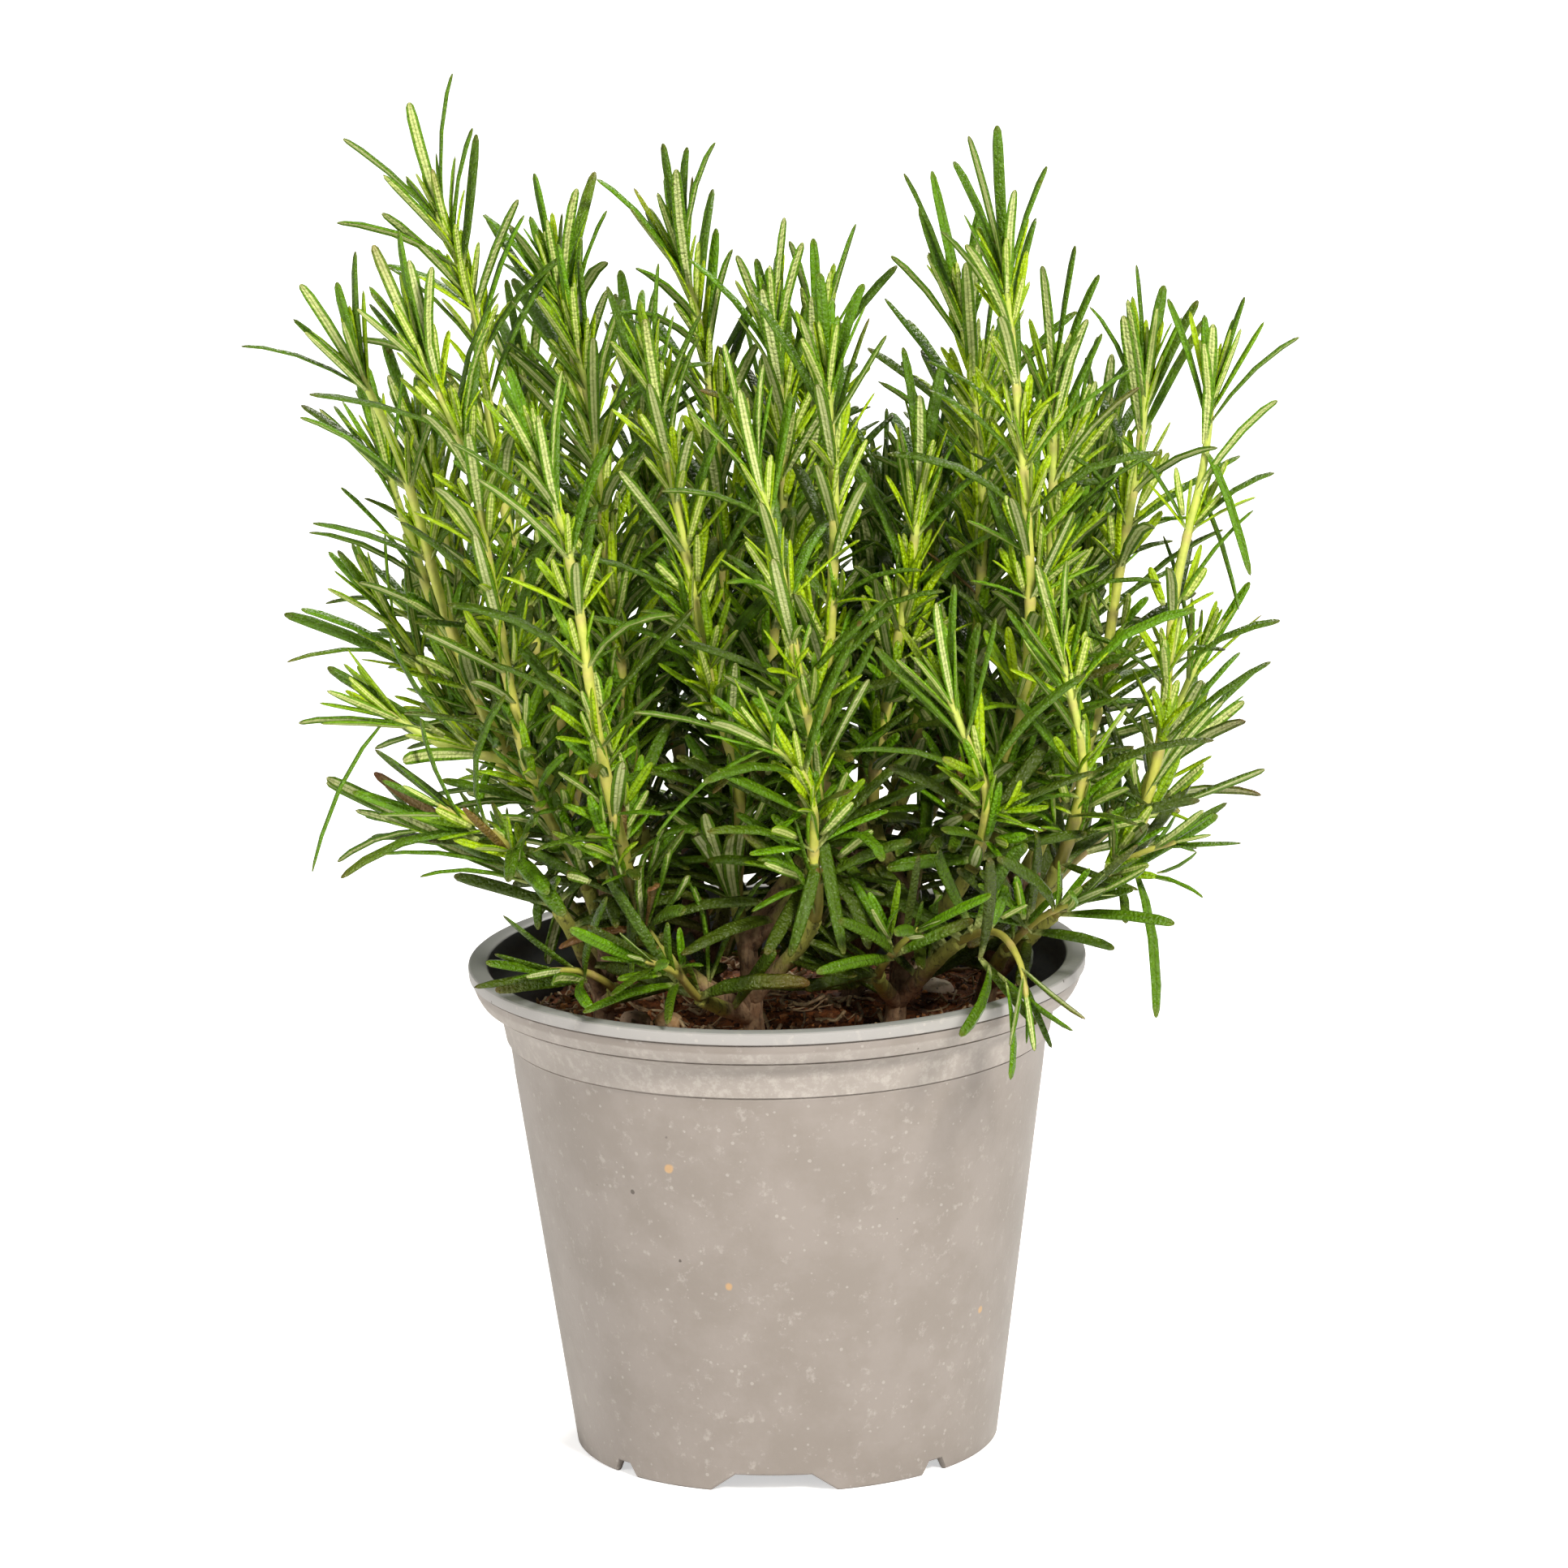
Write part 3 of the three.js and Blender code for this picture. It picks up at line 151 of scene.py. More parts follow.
STEM_ROUTES = (
    StemRoute("leafy_stem_left_tall", Cutting.LEFT,
              ((-38, -6, 134), (-44, -4, 155), (-52, -1, 186), (-57, 2, 220), (-60, 4, 244), (-66, 5, 262)),
              ((-63, 8, 292.5), (-72, 0, 288), (-59, 2, 282), (-86, 4, 280), (-78, -6, 266), (-49, 10, 262))),
    StemRoute("leafy_stem_left_front", Cutting.LEFT,
              ((-39, -20, 125), (-50, -24, 150), (-57, -28, 192), (-61, -29, 218), (-71, -30, 243)),
              ((-79, -36, 265), (-74, -26, 266), (-67, -40, 261), (-56, -34, 247))),
    StemRoute("leafy_stem_left_outer", Cutting.LEFT,
              ((-46, -2, 134), (-58, -4, 155), (-67, -6, 180), (-76, -8, 215), (-84, -8, 234)),
              ((-95, -14, 253), (-88, -2, 251), (-108, -8, 239), (-96, -14, 225), (-84, 0, 257)),
              (Branch(12, ((-66, 7, 168), (-76, 12, 197), (-80, 12, 211)),
                      ((-89, 10, 205), (-90, 12, 222), (-83, 18, 229))),
               Branch(4, ((-66, 9, 155), (-81, 8, 180)),
                      ((-98, 6, 180), (-101, 0, 170), (-90, 8, 192))))),
    StemRoute("leafy_stem_left_drooping", Cutting.LEFT,
              ((-37, -13, 130), (-45, -15, 146), (-56, -17, 152), (-67, -18, 155), (-80, -18, 163)),
              ((-98, -22, 162), (-79, -12, 178), (-92, -14, 172), (-96, -26, 131))),
    StemRoute("leafy_stem_left_low", Cutting.LEFT,
              ((-45, -27, 122), (-56, -31, 138), (-69, -35, 147)),
              ((-87, -30, 149), (-81, -36, 137), (-73, -44, 134), (-72, -38, 166))),
    StemRoute("leafy_stem_left_back", Cutting.LEFT,
              ((-45, 9, 132), (-60, 22, 166), (-73, 28, 210)),
              ((-80, 34, 232), (-70, 24, 234))),
    StemRoute("leafy_stem_left_back_low", Cutting.LEFT,
              ((-42, 9, 113), (-58, 20, 121), (-76, 28, 128)),
              ((-95, 34, 136), (-86, 42, 122))),
    StemRoute("low_sprig_left", Cutting.LEFT,
              ((-34, -24, 104), (-40, -32, 110), (-47, -38, 112)),
              ((-60, -46, 116), (-46, -52, 113), (-38, -52, 107))),
    StemRoute("leafy_stem_left_inner", Cutting.BACK_LEFT,
              ((-28, 4, 131), (-32, 11, 170), (-34, 14, 196), (-38, 16, 222), (-43, 18, 247)),
              ((-47, 20, 269), (-38, 12, 267), (-58, 22, 260), (-32, 24, 260))),
    StemRoute("leafy_stem_middle_tall", Cutting.BACK_LEFT,
              ((-13, 11, 133), (-10, 14, 168), (-10, 18, 200), (-12, 21, 228), (-17, 22, 251)),
              ((-20, 24, 274), (-15, 30, 272), (-9, 18, 275), (-34, 22, 267), (-6, 14, 253))),
    StemRoute("leafy_stem_middle_front", Cutting.FRONT,
              ((-8, -19, 121), (-7, -22, 146), (-12, -24, 168), (-16, -25, 190), (-19, -25, 211),
               (-23, -25, 235)),
              ((-24, -34, 248), (-13, -30, 243), (-30, -20, 246), (-21, -26, 258))),
    StemRoute("leafy_stem_front_left", Cutting.FRONT,
              ((-27, -33, 118), (-31, -36, 136), (-36, -40, 164), (-40, -42, 197), (-46, -43, 222)),
              ((-46, -52, 232), (-52, -40, 240), (-41, -46, 240), (-64, -48, 226))),
    StemRoute("leafy_stem_left_middle", Cutting.LEFT,
              ((-29, -8, 134), (-31, -6, 165), (-34, -4, 199), (-36, -3, 222), (-39, -3, 238)),
              ((-35, -12, 240), (-42, -2, 258), (-30, -8, 244))),
    StemRoute("leafy_stem_front_middle", Cutting.FRONT,
              ((8, -31, 131), (9, -36, 150), (6, -40, 172), (2, -42, 200), (-3, -42, 221)),
              ((-5, -50, 236), (0, -44, 240), (-14, -38, 231), (-8, -42, 244))),
    StemRoute("leafy_stem_middle_right", Cutting.FRONT,
              ((9, -19, 137), (11, -22, 160), (13, -26, 186), (14, -28, 209), (13, -30, 235)),
              ((8, -38, 248), (22, -28, 246), (21, -22, 252), (12, -30, 256))),
    StemRoute("leafy_stem_middle_back", Cutting.BACK_RIGHT,
              ((5, 9, 136), (7, 15, 167), (9, 20, 201), (12, 24, 232)),
              ((6, 22, 253), (11, 30, 252), (20, 24, 256))),
    StemRoute("leafy_stem_middle", Cutting.BACK_LEFT,
              ((-4, 4, 139), (1, 5, 175), (4, 7, 215), (2, 8, 238)),
              ((5, 6, 261), (-1, 14, 251), (-5, 2, 254))),
    StemRoute("leafy_stem_right_tall", Cutting.FRONT_RIGHT,
              ((31, -8, 128), (42, -13, 139), (51, -18, 156), (54, -20, 181), (53, -21, 215), (50, -22, 253)),
              ((49, -20, 284), (43, -26, 283), (40, -16, 276), (59, -24, 276), (52, -34, 273),
               (37, -30, 264))),
    StemRoute("leafy_stem_right_back", Cutting.BACK_RIGHT,
              ((33, 8, 133), (43, 9, 167), (45, 12, 210), (42, 12, 238)),
              ((30, 10, 269), (36, 18, 268), (27, 8, 252), (46, 20, 260))),
    StemRoute("leafy_stem_right_middle", Cutting.RIGHT,
              ((46, -4, 131), (56, -3, 161), (59, -4, 190), (60, -5, 225)),
              ((65, -6, 256), (70, -2, 249), (58, -12, 253), (67, -14, 242))),
    StemRoute("leafy_stem_right_inner", Cutting.RIGHT,
              ((57, 3, 129), (67, 5, 150), (73, 7, 181), (78, 8, 209), (80, 8, 226)),
              ((78, 8, 249), (84, 16, 243), (68, 4, 241), (91, 14, 240))),
    StemRoute("leafy_stem_right_outer", Cutting.RIGHT,
              ((58, -12, 115), (73, -12, 127), (80, -10, 146), (85, -7, 184), (91, -5, 209), (93, -5, 225)),
              ((100, -4, 244), (93, -12, 240), (84, -4, 244), (111, -8, 236), (106, -14, 224),
               (101, -10, 200), (100, -14, 187), (98, -2, 177), (94, -16, 161)),
              (Branch(3, ((68, -23, 126), (76, -29, 132), (83, -32, 135)),
                      ((92, -30, 140), (78, -46, 101), (88, -44, 126))),
               Branch(20, ((80, 4, 142), (90, 8, 165)),
                      ((101, 12, 180), (99, 16, 164))))),
    StemRoute("leafy_stem_right_centre", Cutting.FRONT_RIGHT,
              ((21, -4, 134), (25, -8, 165), (29, -11, 186), (32, -12, 207)),
              ((32, -20, 228), (37, -8, 232), (29, -4, 235))),
    StemRoute("leafy_stem_front_right_short", Cutting.FRONT_RIGHT,
              ((41, -33, 131), (44, -44, 149), (41, -47, 158), (36, -50, 172)),
              ((34, -60, 193), (38, -52, 195), (43, -48, 186), (25, -57, 178))),
    StemRoute("leafy_stem_right_front_short", Cutting.RIGHT,
              ((59, -22, 128), (64, -32, 150), (60, -38, 177)),
              ((55, -44, 197), (61, -46, 198), (66, -38, 188))),
    StemRoute("leafy_stem_front_pale", Cutting.FRONT,
              ((8, -36, 121), (8, -41, 137), (8, -46, 148), (5, -50, 157), (-1, -52, 163)),
              ((-12, -86, 175), (-28, -62, 172), (-24, -62, 146), (6, -70, 180))),
    StemRoute("low_sprig_front_left", Cutting.FRONT,
              ((-16, -33, 104), (-21, -42, 112), (-27, -51, 117)),
              ((-42, -66, 128), (-22, -74, 122), (-40, -58, 108))),
    StemRoute("low_sprig_front", Cutting.FRONT_RIGHT,
              ((21, -29, 107), (25, -41, 116), (29, -50, 122)),
              ((24, -76, 128), (44, -70, 134), (8, -60, 116))),
    StemRoute("low_sprig_over_rim", Cutting.FRONT_RIGHT,
              ((38, -33, 115), (46, -47, 120), (50, -57, 116), (51, -62, 110)),
              ((37, -72, 105), (47, -77, 97), (60, -73, 106))),
    StemRoute("low_sprig_right", Cutting.RIGHT,
              ((48, -17, 109), (55, -30, 119), (64, -42, 126)),
              ((76, -58, 136), (82, -50, 122), (60, -62, 132))),
    StemRoute("leafy_stem_right_low", Cutting.RIGHT,
              ((59, 12, 116), (76, 22, 130), (88, 28, 144)),
              ((104, 36, 156), (100, 22, 152), (92, 44, 150))),
    StemRoute("leafy_stem_right_side", Cutting.RIGHT,
              ((50, 11, 133), (58, 13, 173), (64, 16, 210)),
              ((70, 18, 232), (60, 24, 232))),
    StemRoute("leafy_stem_right_side_back", Cutting.RIGHT,
              ((52, 18, 127), (64, 30, 164), (71, 36, 202)),
              ((78, 44, 222), (68, 36, 224))),
    StemRoute("leafy_stem_right_back_low", Cutting.RIGHT,
              ((46, 22, 120), (58, 44, 144), (68, 54, 170)),
              ((76, 68, 186), (66, 58, 192))),
    StemRoute("leafy_stem_back_right_tall", Cutting.BACK_RIGHT,
              ((33, 24, 132), (42, 36, 170), (46, 44, 218)),
              ((50, 48, 242), (40, 48, 240))),
    StemRoute("leafy_stem_right_centre_back", Cutting.BACK_RIGHT,
              ((28, 13, 137), (33, 22, 175), (35, 26, 203)),
              ((29, 26, 226), (41, 32, 224))),
    StemRoute("leafy_stem_back_right_middle", Cutting.BACK_RIGHT,
              ((19, 27, 132), (22, 42, 162), (25, 50, 188)),
              ((26, 56, 210), (18, 50, 208))),
    StemRoute("leafy_stem_back_right_short", Cutting.BACK_RIGHT,
              ((24, 33, 124), (31, 56, 148), (36, 65, 174)),
              ((38, 80, 188), (32, 66, 197))),
    StemRoute("leafy_stem_back_middle", Cutting.BACK_RIGHT,
              ((4, 26, 134), (3, 42, 170), (1, 51, 208)),
              ((-4, 56, 230), (4, 50, 232))),
    StemRoute("leafy_stem_back_middle_short", Cutting.BACK_RIGHT,
              ((3, 33, 122), (-2, 58, 146), (-5, 67, 172)),
              ((-8, 82, 188), (0, 70, 194))),
    StemRoute("low_sprig_back", Cutting.BACK_LEFT,
              ((-11, 32, 108), (-14, 48, 118), (-18, 64, 122)),
              ((-22, 86, 126), (-32, 76, 120))),
    StemRoute("low_sprig_back_right", Cutting.BACK_RIGHT,
              ((27, 29, 108), (38, 46, 118), (46, 58, 123)),
              ((56, 78, 130), (64, 66, 124))),
    StemRoute("leafy_stem_back_left_tall", Cutting.BACK_LEFT,
              ((-33, 21, 134), (-44, 35, 168), (-50, 41, 218)),
              ((-54, 44, 242), (-46, 38, 242))),
    StemRoute("leafy_stem_back_left_middle", Cutting.BACK_LEFT,
              ((-19, 27, 134), (-23, 41, 172), (-27, 47, 218)),
              ((-30, 52, 242), (-22, 46, 240))),
    StemRoute("leafy_stem_back_left_outer", Cutting.BACK_LEFT,
              ((-37, 27, 123), (-60, 41, 142), (-73, 48, 168)),
              ((-88, 54, 182), (-76, 50, 192))),
    StemRoute("leafy_stem_back_left_short", Cutting.BACK_LEFT,
              ((-24, 32, 124), (-34, 54, 148), (-41, 63, 178)),
              ((-50, 76, 192), (-40, 66, 202))),
)


# Small helpers

def lerp(a: float, b: float, share: float) -> float:
    """The value at a share of the way from a to b."""
    return a + (b - a) * share


def unit(vector: np.ndarray) -> np.ndarray:
    """A vector, or rows of vectors, scaled to length 1."""
    return vector / np.maximum(np.linalg.norm(vector, axis=-1, keepdims=True), 1e-12)


def perpendicular(vector: np.ndarray, along: np.ndarray) -> np.ndarray:
    """The part of a vector that is square to a direction, scaled to length 1."""
    return unit(vector - np.sum(vector * along, axis=-1, keepdims=True) * along)


def linear(red: int, green: int, blue: int) -> Colour:
    """A screen colour of 0 to 255 as the linear colour that shaders use.

    Args:
        red: The red part.
        green: The green part.
        blue: The blue part.

    Returns:
        The linear colour.
    """
    def channel(value: int) -> float:
        """One part of the colour."""
        share = value / 255
        return share / 12.92 if share <= 0.04045 else ((share + 0.055) / 1.055) ** 2.4
    return channel(red), channel(green), channel(blue)


def soil_height(x: np.ndarray, y: np.ndarray) -> np.ndarray:
    """The height of the soil's surface, in millimetres, with its gentle bumps.

    Args:
        x: Places from left to right, in millimetres.
        y: Places from front to back.

    Returns:
        The heights.
    """
    wide = np.sin(x * 0.11 + 1) * np.cos(y * 0.13)
    narrow = 0.5 * np.sin(x * 0.31 + y * 0.23) * np.sin(y * 0.29 - 1)
    return SOIL_TOP + SOIL_BUMP * (wide + narrow)


def draws_from(seed: int) -> Callable[[], float]:
    """A repeatable stream of draws between 0 and 1, the one that the frame's leaves use.

    Args:
        seed: The whole number that starts the stream.

    Returns:
        A function that gives the next draw.
    """
    mask = 0xFFFFFFFF
    state = seed & mask

    def draw() -> float:
        """The next draw."""
        nonlocal state
        state = (state + 0x6D2B79F5) & mask
        mixed = ((state ^ (state >> 15)) * (state | 1)) & mask
        mixed ^= (mixed + (((mixed ^ (mixed >> 7)) * (mixed | 61)) & mask)) & mask
        return ((mixed ^ (mixed >> 14)) & mask) / 2**32

    return draw


class Path:
    """A smooth path through points, with a frame carried along it without twist."""

    SAMPLES_PER_SPAN = 8

    def __init__(self, points: Sequence[Sequence[float]]) -> None:
        """Samples the path.

        Args:
            points: The points that the path goes through.
        """
        knots = [np.array(point, float) for point in points]
        self.points = self._samples(knots)
        steps = np.linalg.norm(np.diff(self.points, axis=0), axis=1)
        self.lengths = np.concatenate([[0.0], np.cumsum(steps)])
        self.length = float(self.lengths[-1])
        self.first_span = float(self.lengths[self.SAMPLES_PER_SPAN])
        before = np.concatenate([self.points[:1], self.points[:-1]])
        after = np.concatenate([self.points[1:], self.points[-1:]])
        self.directions = unit(after - before)
        side = np.array([0.0, 1.0, 0.0])
        sides = []
        for along in self.directions:
            side = perpendicular(side, along)
            sides.append(side)
        self.sides = np.array(sides)

    def _samples(self, knots: list[np.ndarray]) -> np.ndarray:
        """The points of a centripetal curve through the knots.

        Args:
            knots: The points that it goes through.

        Returns:
            Rows of points.
        """
        ends = [2 * knots[0] - knots[1], *knots, 2 * knots[-1] - knots[-2]]
        samples = []
        for i in range(len(knots) - 1):
            p0, p1, p2, p3 = ends[i:i + 4]
            d0, d1, d2 = (math.sqrt(float(np.linalg.norm(b - a))) for a, b in ((p0, p1), (p1, p2), (p2, p3)))
            t1 = ((p1 - p0) / d0 - (p2 - p0) / (d0 + d1) + (p2 - p1) / d1) * d1
            t2 = ((p2 - p1) / d1 - (p3 - p1) / (d1 + d2) + (p3 - p2) / d2) * d1
            for j in range(self.SAMPLES_PER_SPAN):
                t = j / self.SAMPLES_PER_SPAN
                square = (-3 * p1 + 3 * p2 - 2 * t1 - t2) * t * t
                samples.append(p1 + t1 * t + square + (2 * p1 - 2 * p2 + t1 + t2) * t**3)
        samples.append(knots[-1])
        return np.array(samples)

    def at(self, distance: float) -> Frame:
        """The frame at a distance along the path.

        Args:
            distance: Millimetres from the path's start.

        Returns:
            The point there, the path's direction and two side vectors.
        """
        i = int(np.searchsorted(self.lengths, distance, side="left")) - 1
        i = min(max(i, 0), len(self.lengths) - 2)
        share = (distance - self.lengths[i]) / (self.lengths[i + 1] - self.lengths[i])
        along = unit(lerp(self.directions[i], self.directions[i + 1], share))
        side = perpendicular(lerp(self.sides[i], self.sides[i + 1], share), along)
        return Frame(lerp(self.points[i], self.points[i + 1], share), along, side, np.cross(along, side))


@dataclass(frozen=True)
class Frame:
    """A point on a path with its direction and two vectors square to it."""

    point: np.ndarray
    along: np.ndarray
    side: np.ndarray
    across: np.ndarray

    def outward(self, turn: float) -> np.ndarray:
        """The direction away from the path at a turn about it, in radians."""
        return self.side * math.cos(turn) + self.across * math.sin(turn)


# Meshes

@dataclass
class Batch:
    """Points, faces and point attributes that grow into one mesh."""

    points: list[np.ndarray] = field(default_factory=list)
    quads: list[np.ndarray] = field(default_factory=list)
    triangles: list[np.ndarray] = field(default_factory=list)
    attributes: dict[str, list[np.ndarray]] = field(default_factory=dict)
    count: int = 0

    def add(self, points: np.ndarray, quads: np.ndarray, triangles: np.ndarray,
            **attributes: np.ndarray) -> None:
        """Adds points and the faces between them.

        Args:
            points: Rows of points in millimetres.
            quads: Rows of four point numbers, or an empty list.
            triangles: Rows of three point numbers, or an empty list.
            attributes: Three values for each point, by name. Every call gives the same names.
        """
        self.points.append(points)
        self.quads.append(np.asarray(quads, int).reshape(-1, 4) + self.count)
        self.triangles.append(np.asarray(triangles, int).reshape(-1, 3) + self.count)
        for name, values in attributes.items():
            self.attributes.setdefault(name, []).append(np.broadcast_to(values, points.shape))
        self.count += len(points)

    def add_rings(self, points: np.ndarray, rings: int, sides: int, **attributes: np.ndarray) -> None:
        """Adds a closed stack of rings. The middles of its first and last ring follow the rings' points."""
        self.add(points, ring_quads(rings, sides), end_fans(rings, sides), **attributes)

    def mesh(self, name: str, smooth: bool = True) -> bpy.types.Mesh:
        """Makes the mesh, in metres, kept inside the frame's box.

        Args:
            name: The mesh's name.
            smooth: Whether its faces are shaded smooth.

        Returns:
            The new mesh.
        """
        points = np.concatenate(self.points) * METRES
        points = np.clip(points, np.array(CAD_BOX[0]), np.array(CAD_BOX[1]))
        quads = np.concatenate(self.quads)
        triangles = np.concatenate(self.triangles)
        mesh = bpy.data.meshes.new(name)
        mesh.vertices.add(len(points))
        mesh.vertices.foreach_set("co", points.astype(np.float32).ravel())
        corners = np.concatenate([quads.ravel(), triangles.ravel()])
        mesh.loops.add(len(corners))
        mesh.loops.foreach_set("vertex_index", corners.astype(np.int32))
        starts = np.concatenate([np.arange(len(quads)) * 4, 4 * len(quads) + np.arange(len(triangles)) * 3])
        mesh.polygons.add(len(starts))
        mesh.polygons.foreach_set("loop_start", starts.astype(np.int32))
        mesh.polygons.foreach_set("use_smooth", np.full(len(starts), smooth))
        for attribute, values in self.attributes.items():
            layer = mesh.attributes.new(attribute, "FLOAT_VECTOR", "POINT")
            layer.data.foreach_set("vector", np.concatenate(values).astype(np.float32).ravel())
        mesh.update(calc_edges=True)
        mesh.validate()
        return mesh


def ring_quads(rings: int, sides: int) -> np.ndarray:
    """The quads between rings of points that follow each other, each closed on itself.

    Args:
        rings: How many rings there are.
        sides: How many points each ring has.

    Returns:
        Rows of four point numbers.
    """
    ring, side = np.meshgrid(np.arange(rings - 1), np.arange(sides), indexing="ij")
    a = (ring * sides + side).ravel()
    b = (ring * sides + (side + 1) % sides).ravel()
    return np.stack([a, b, b + sides, a + sides], axis=1)


def end_fans(rings: int, sides: int) -> np.ndarray:
    """The triangles that close both ends of a stack of rings, each to a point in its middle.

    Args:
        rings: How many rings there are. The two middle points follow them.
        sides: How many points each ring has.

    Returns:
        Rows of three point numbers.
    """
    a = np.arange(sides)
    b = (a + 1) % sides
    total = rings * sides
    last = total - sides
    first_end = np.stack([b, a, np.full(sides, total)], axis=1)
    last_end = np.stack([a + last, b + last, np.full(sides, total + 1)], axis=1)
    return np.concatenate([first_end, last_end])


def add_tube(batch: Batch, path: Path, start: float, end: float, sides: int, step: float,
             radius_at: Callable[[float, float], float], **attributes: Callable[[float], Colour]) -> None:
    """Adds a closed tube along part of a path.

    Args:
        batch: The mesh in the making.
        path: The path that the tube follows.
        start: Where on the path it starts, in millimetres.
        end: Where on the path it ends.
        sides: How many points each of its rings has.
        step: The distance between rings.
        radius_at: Gives the radius for a distance along the path and an angle about it.
        attributes: For each attribute a function from the distance to its three values.
    """
    count = max(2, math.ceil((end - start) / step))
    points, values = [], {name: [] for name in attributes}
    for i in range(count + 1):
        distance = lerp(start, end, i / count)
        at = path.at(distance)
        for j in range(sides):
            angle = 2 * math.pi * j / sides
            points.append(at.point + at.outward(angle) * radius_at(distance, angle))
        for name, value_at in attributes.items():
            values[name].extend([value_at(distance)] * sides)
    first, last = path.at(start), path.at(end)
    points.extend([first.point, last.point + last.along * TUBE_CAP * radius_at(end, 0)])
    for name, value_at in attributes.items():
        values[name].extend([value_at(start), value_at(end)])
    batch.add_rings(np.array(points), count + 1, sides,
                    **{name: np.array(value) for name, value in values.items()})


def new_object(name: str, data: bpy.types.ID) -> bpy.types.Object:
    """Makes an object and links it to the scene.

    Args:
        name: The object's name.
        data: Its mesh, light or camera.

    Returns:
        The new object.
    """
    made = bpy.data.objects.new(name, data)
    bpy.context.scene.collection.objects.link(made)
    return made


def place(name: str, mesh: bpy.types.Mesh, slot: str, material: Material,
          nodes: Iterable[str] = ()) -> None:
    """Puts a mesh in the scene as a piece that rides on the plant's one body.

    Args:
        name: The piece's name.
        mesh: Its mesh, whose place is in its points.
        slot: The record's material slot; it is not used.
        material: Its material.
        nodes: The frame's nodes that it stands for.
    """
    piece = new_object(name, mesh)
    mesh.materials.append(material)
    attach(piece, BODY)
    for node in nodes:
        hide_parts(node)
    LOG.info("%s: %d faces", name, len(mesh.polygons))


# Node graphs

class Graph:
    """A node tree with short ways to add and join nodes."""

    def __init__(self, tree: bpy.types.NodeTree) -> None:
        """Wraps a node tree."""
        self.tree = tree

    def node(self, kind: str, inputs: dict | None = None, **settings: object) -> bpy.types.Node:
        """Adds a node.

        Args:
            kind: The node's type name.
            inputs: Socket names or numbers with a constant or an output socket each.
            settings: Attributes of the node itself.

        Returns:
            The new node.
        """
        node = self.tree.nodes.new(kind)
        for name, value in settings.items():
            setattr(node, name, value)
        for key, value in (inputs or {}).items():
            self.feed(node.inputs[key], value)
        return node

    def feed(self, socket: Socket, value: object) -> None:
        """Links an output to a socket, or sets the socket's constant.

        Args:
            socket: The input socket.
            value: An output socket, a number, a colour or a vector.
        """
        if isinstance(value, Socket):
            self.tree.links.new(value, socket)
        elif socket.type == "RGBA" and len(value) == 3:
            socket.default_value = (*value, 1.0)
        else:
            socket.default_value = value

    def math(self, operation: str, a: object, b: object = 0.0) -> Socket:
        """The result of a Math node of two values."""
        return self.node("ShaderNodeMath", {0: a, 1: b}, operation=operation).outputs[0]

    def times(self, a: object, b: object) -> Socket:
        """The product of two values."""
        return self.math("MULTIPLY", a, b)

    def rest(self, value: object) -> Socket:
        """What a value lacks to 1."""
        return self.math("SUBTRACT", 1.0, value)

    def scaled(self, value: object, factor: float, offset: object) -> Socket:
        """A value times a factor plus an offset."""
        inputs = {0: value, 1: factor, 2: offset}
        return self.node("ShaderNodeMath", inputs, operation="MULTIPLY_ADD").outputs[0]

    def mix(self, share: object, a: object, b: object, blend: str = "MIX") -> Socket:
        """The colour at a share of the way from a to b."""
        inputs = {0: share, 6: a, 7: b}
        return self.node("ShaderNodeMix", inputs, data_type="RGBA", blend_type=blend).outputs[2]

    def step(self, value: object, low: float, high: float) -> Socket:
        """A smooth rise from 0 to 1 while a value goes from low to high."""
        inputs = {"Value": value, "From Min": low, "From Max": high}
        return self.node("ShaderNodeMapRange", inputs, interpolation_type="SMOOTHSTEP").outputs[0]

    def noise(self, vector: object, scale: object, detail: float = 2.0,
              rough: float = 0.5) -> Socket:
        """The factor of a Noise texture."""
        inputs = {"Vector": vector, "Scale": scale, "Detail": detail, "Roughness": rough}
        return self.node("ShaderNodeTexNoise", inputs).outputs["Fac"]

    def parts(self, attribute: str) -> tuple[Socket, ...]:
        """The three values of a mesh attribute."""
        read = self.node("ShaderNodeAttribute", attribute_name=attribute)
        return tuple(self.node("ShaderNodeSeparateXYZ", {0: read.outputs["Vector"]}).outputs)

    def use(self, group: bpy.types.NodeTree, **inputs: object) -> bpy.types.Node:
        """Adds a node group.

        Args:
            group: The group.
            inputs: Its inputs by name, with underscores for spaces.

        Returns:
            The group's node.
        """
        node = self.node("ShaderNodeGroup", node_tree=group)
        for name, value in inputs.items():
            self.feed(node.inputs[name.replace("_", " ")], value)
        return node


class SocketKind(Enum):
    """The kinds of socket that the shared effects have."""

    VALUE = "NodeSocketFloat"
    COLOUR = "NodeSocketColor"
    VECTOR = "NodeSocketVector"


def new_group(name: str, inputs: dict[str, SocketKind], outputs: dict[str, SocketKind]) -> tuple[Graph, dict]:
    """Starts a shader node group.

    Args:
        name: The group's name.
        inputs: Its inputs with their kinds.
        outputs: Its outputs with their kinds.

    Returns:
        The graph of the group and its input sockets by name.
    """
    tree = bpy.data.node_groups.new(name, "ShaderNodeTree")
    for socket, kind in inputs.items():
        tree.interface.new_socket(socket, in_out="INPUT", socket_type=kind.value)
    for socket, kind in outputs.items():
        tree.interface.new_socket(socket, in_out="OUTPUT", socket_type=kind.value)
    graph = Graph(tree)
    source = tree.nodes.new("NodeGroupInput")
    return graph, {socket: source.outputs[socket] for socket in inputs}


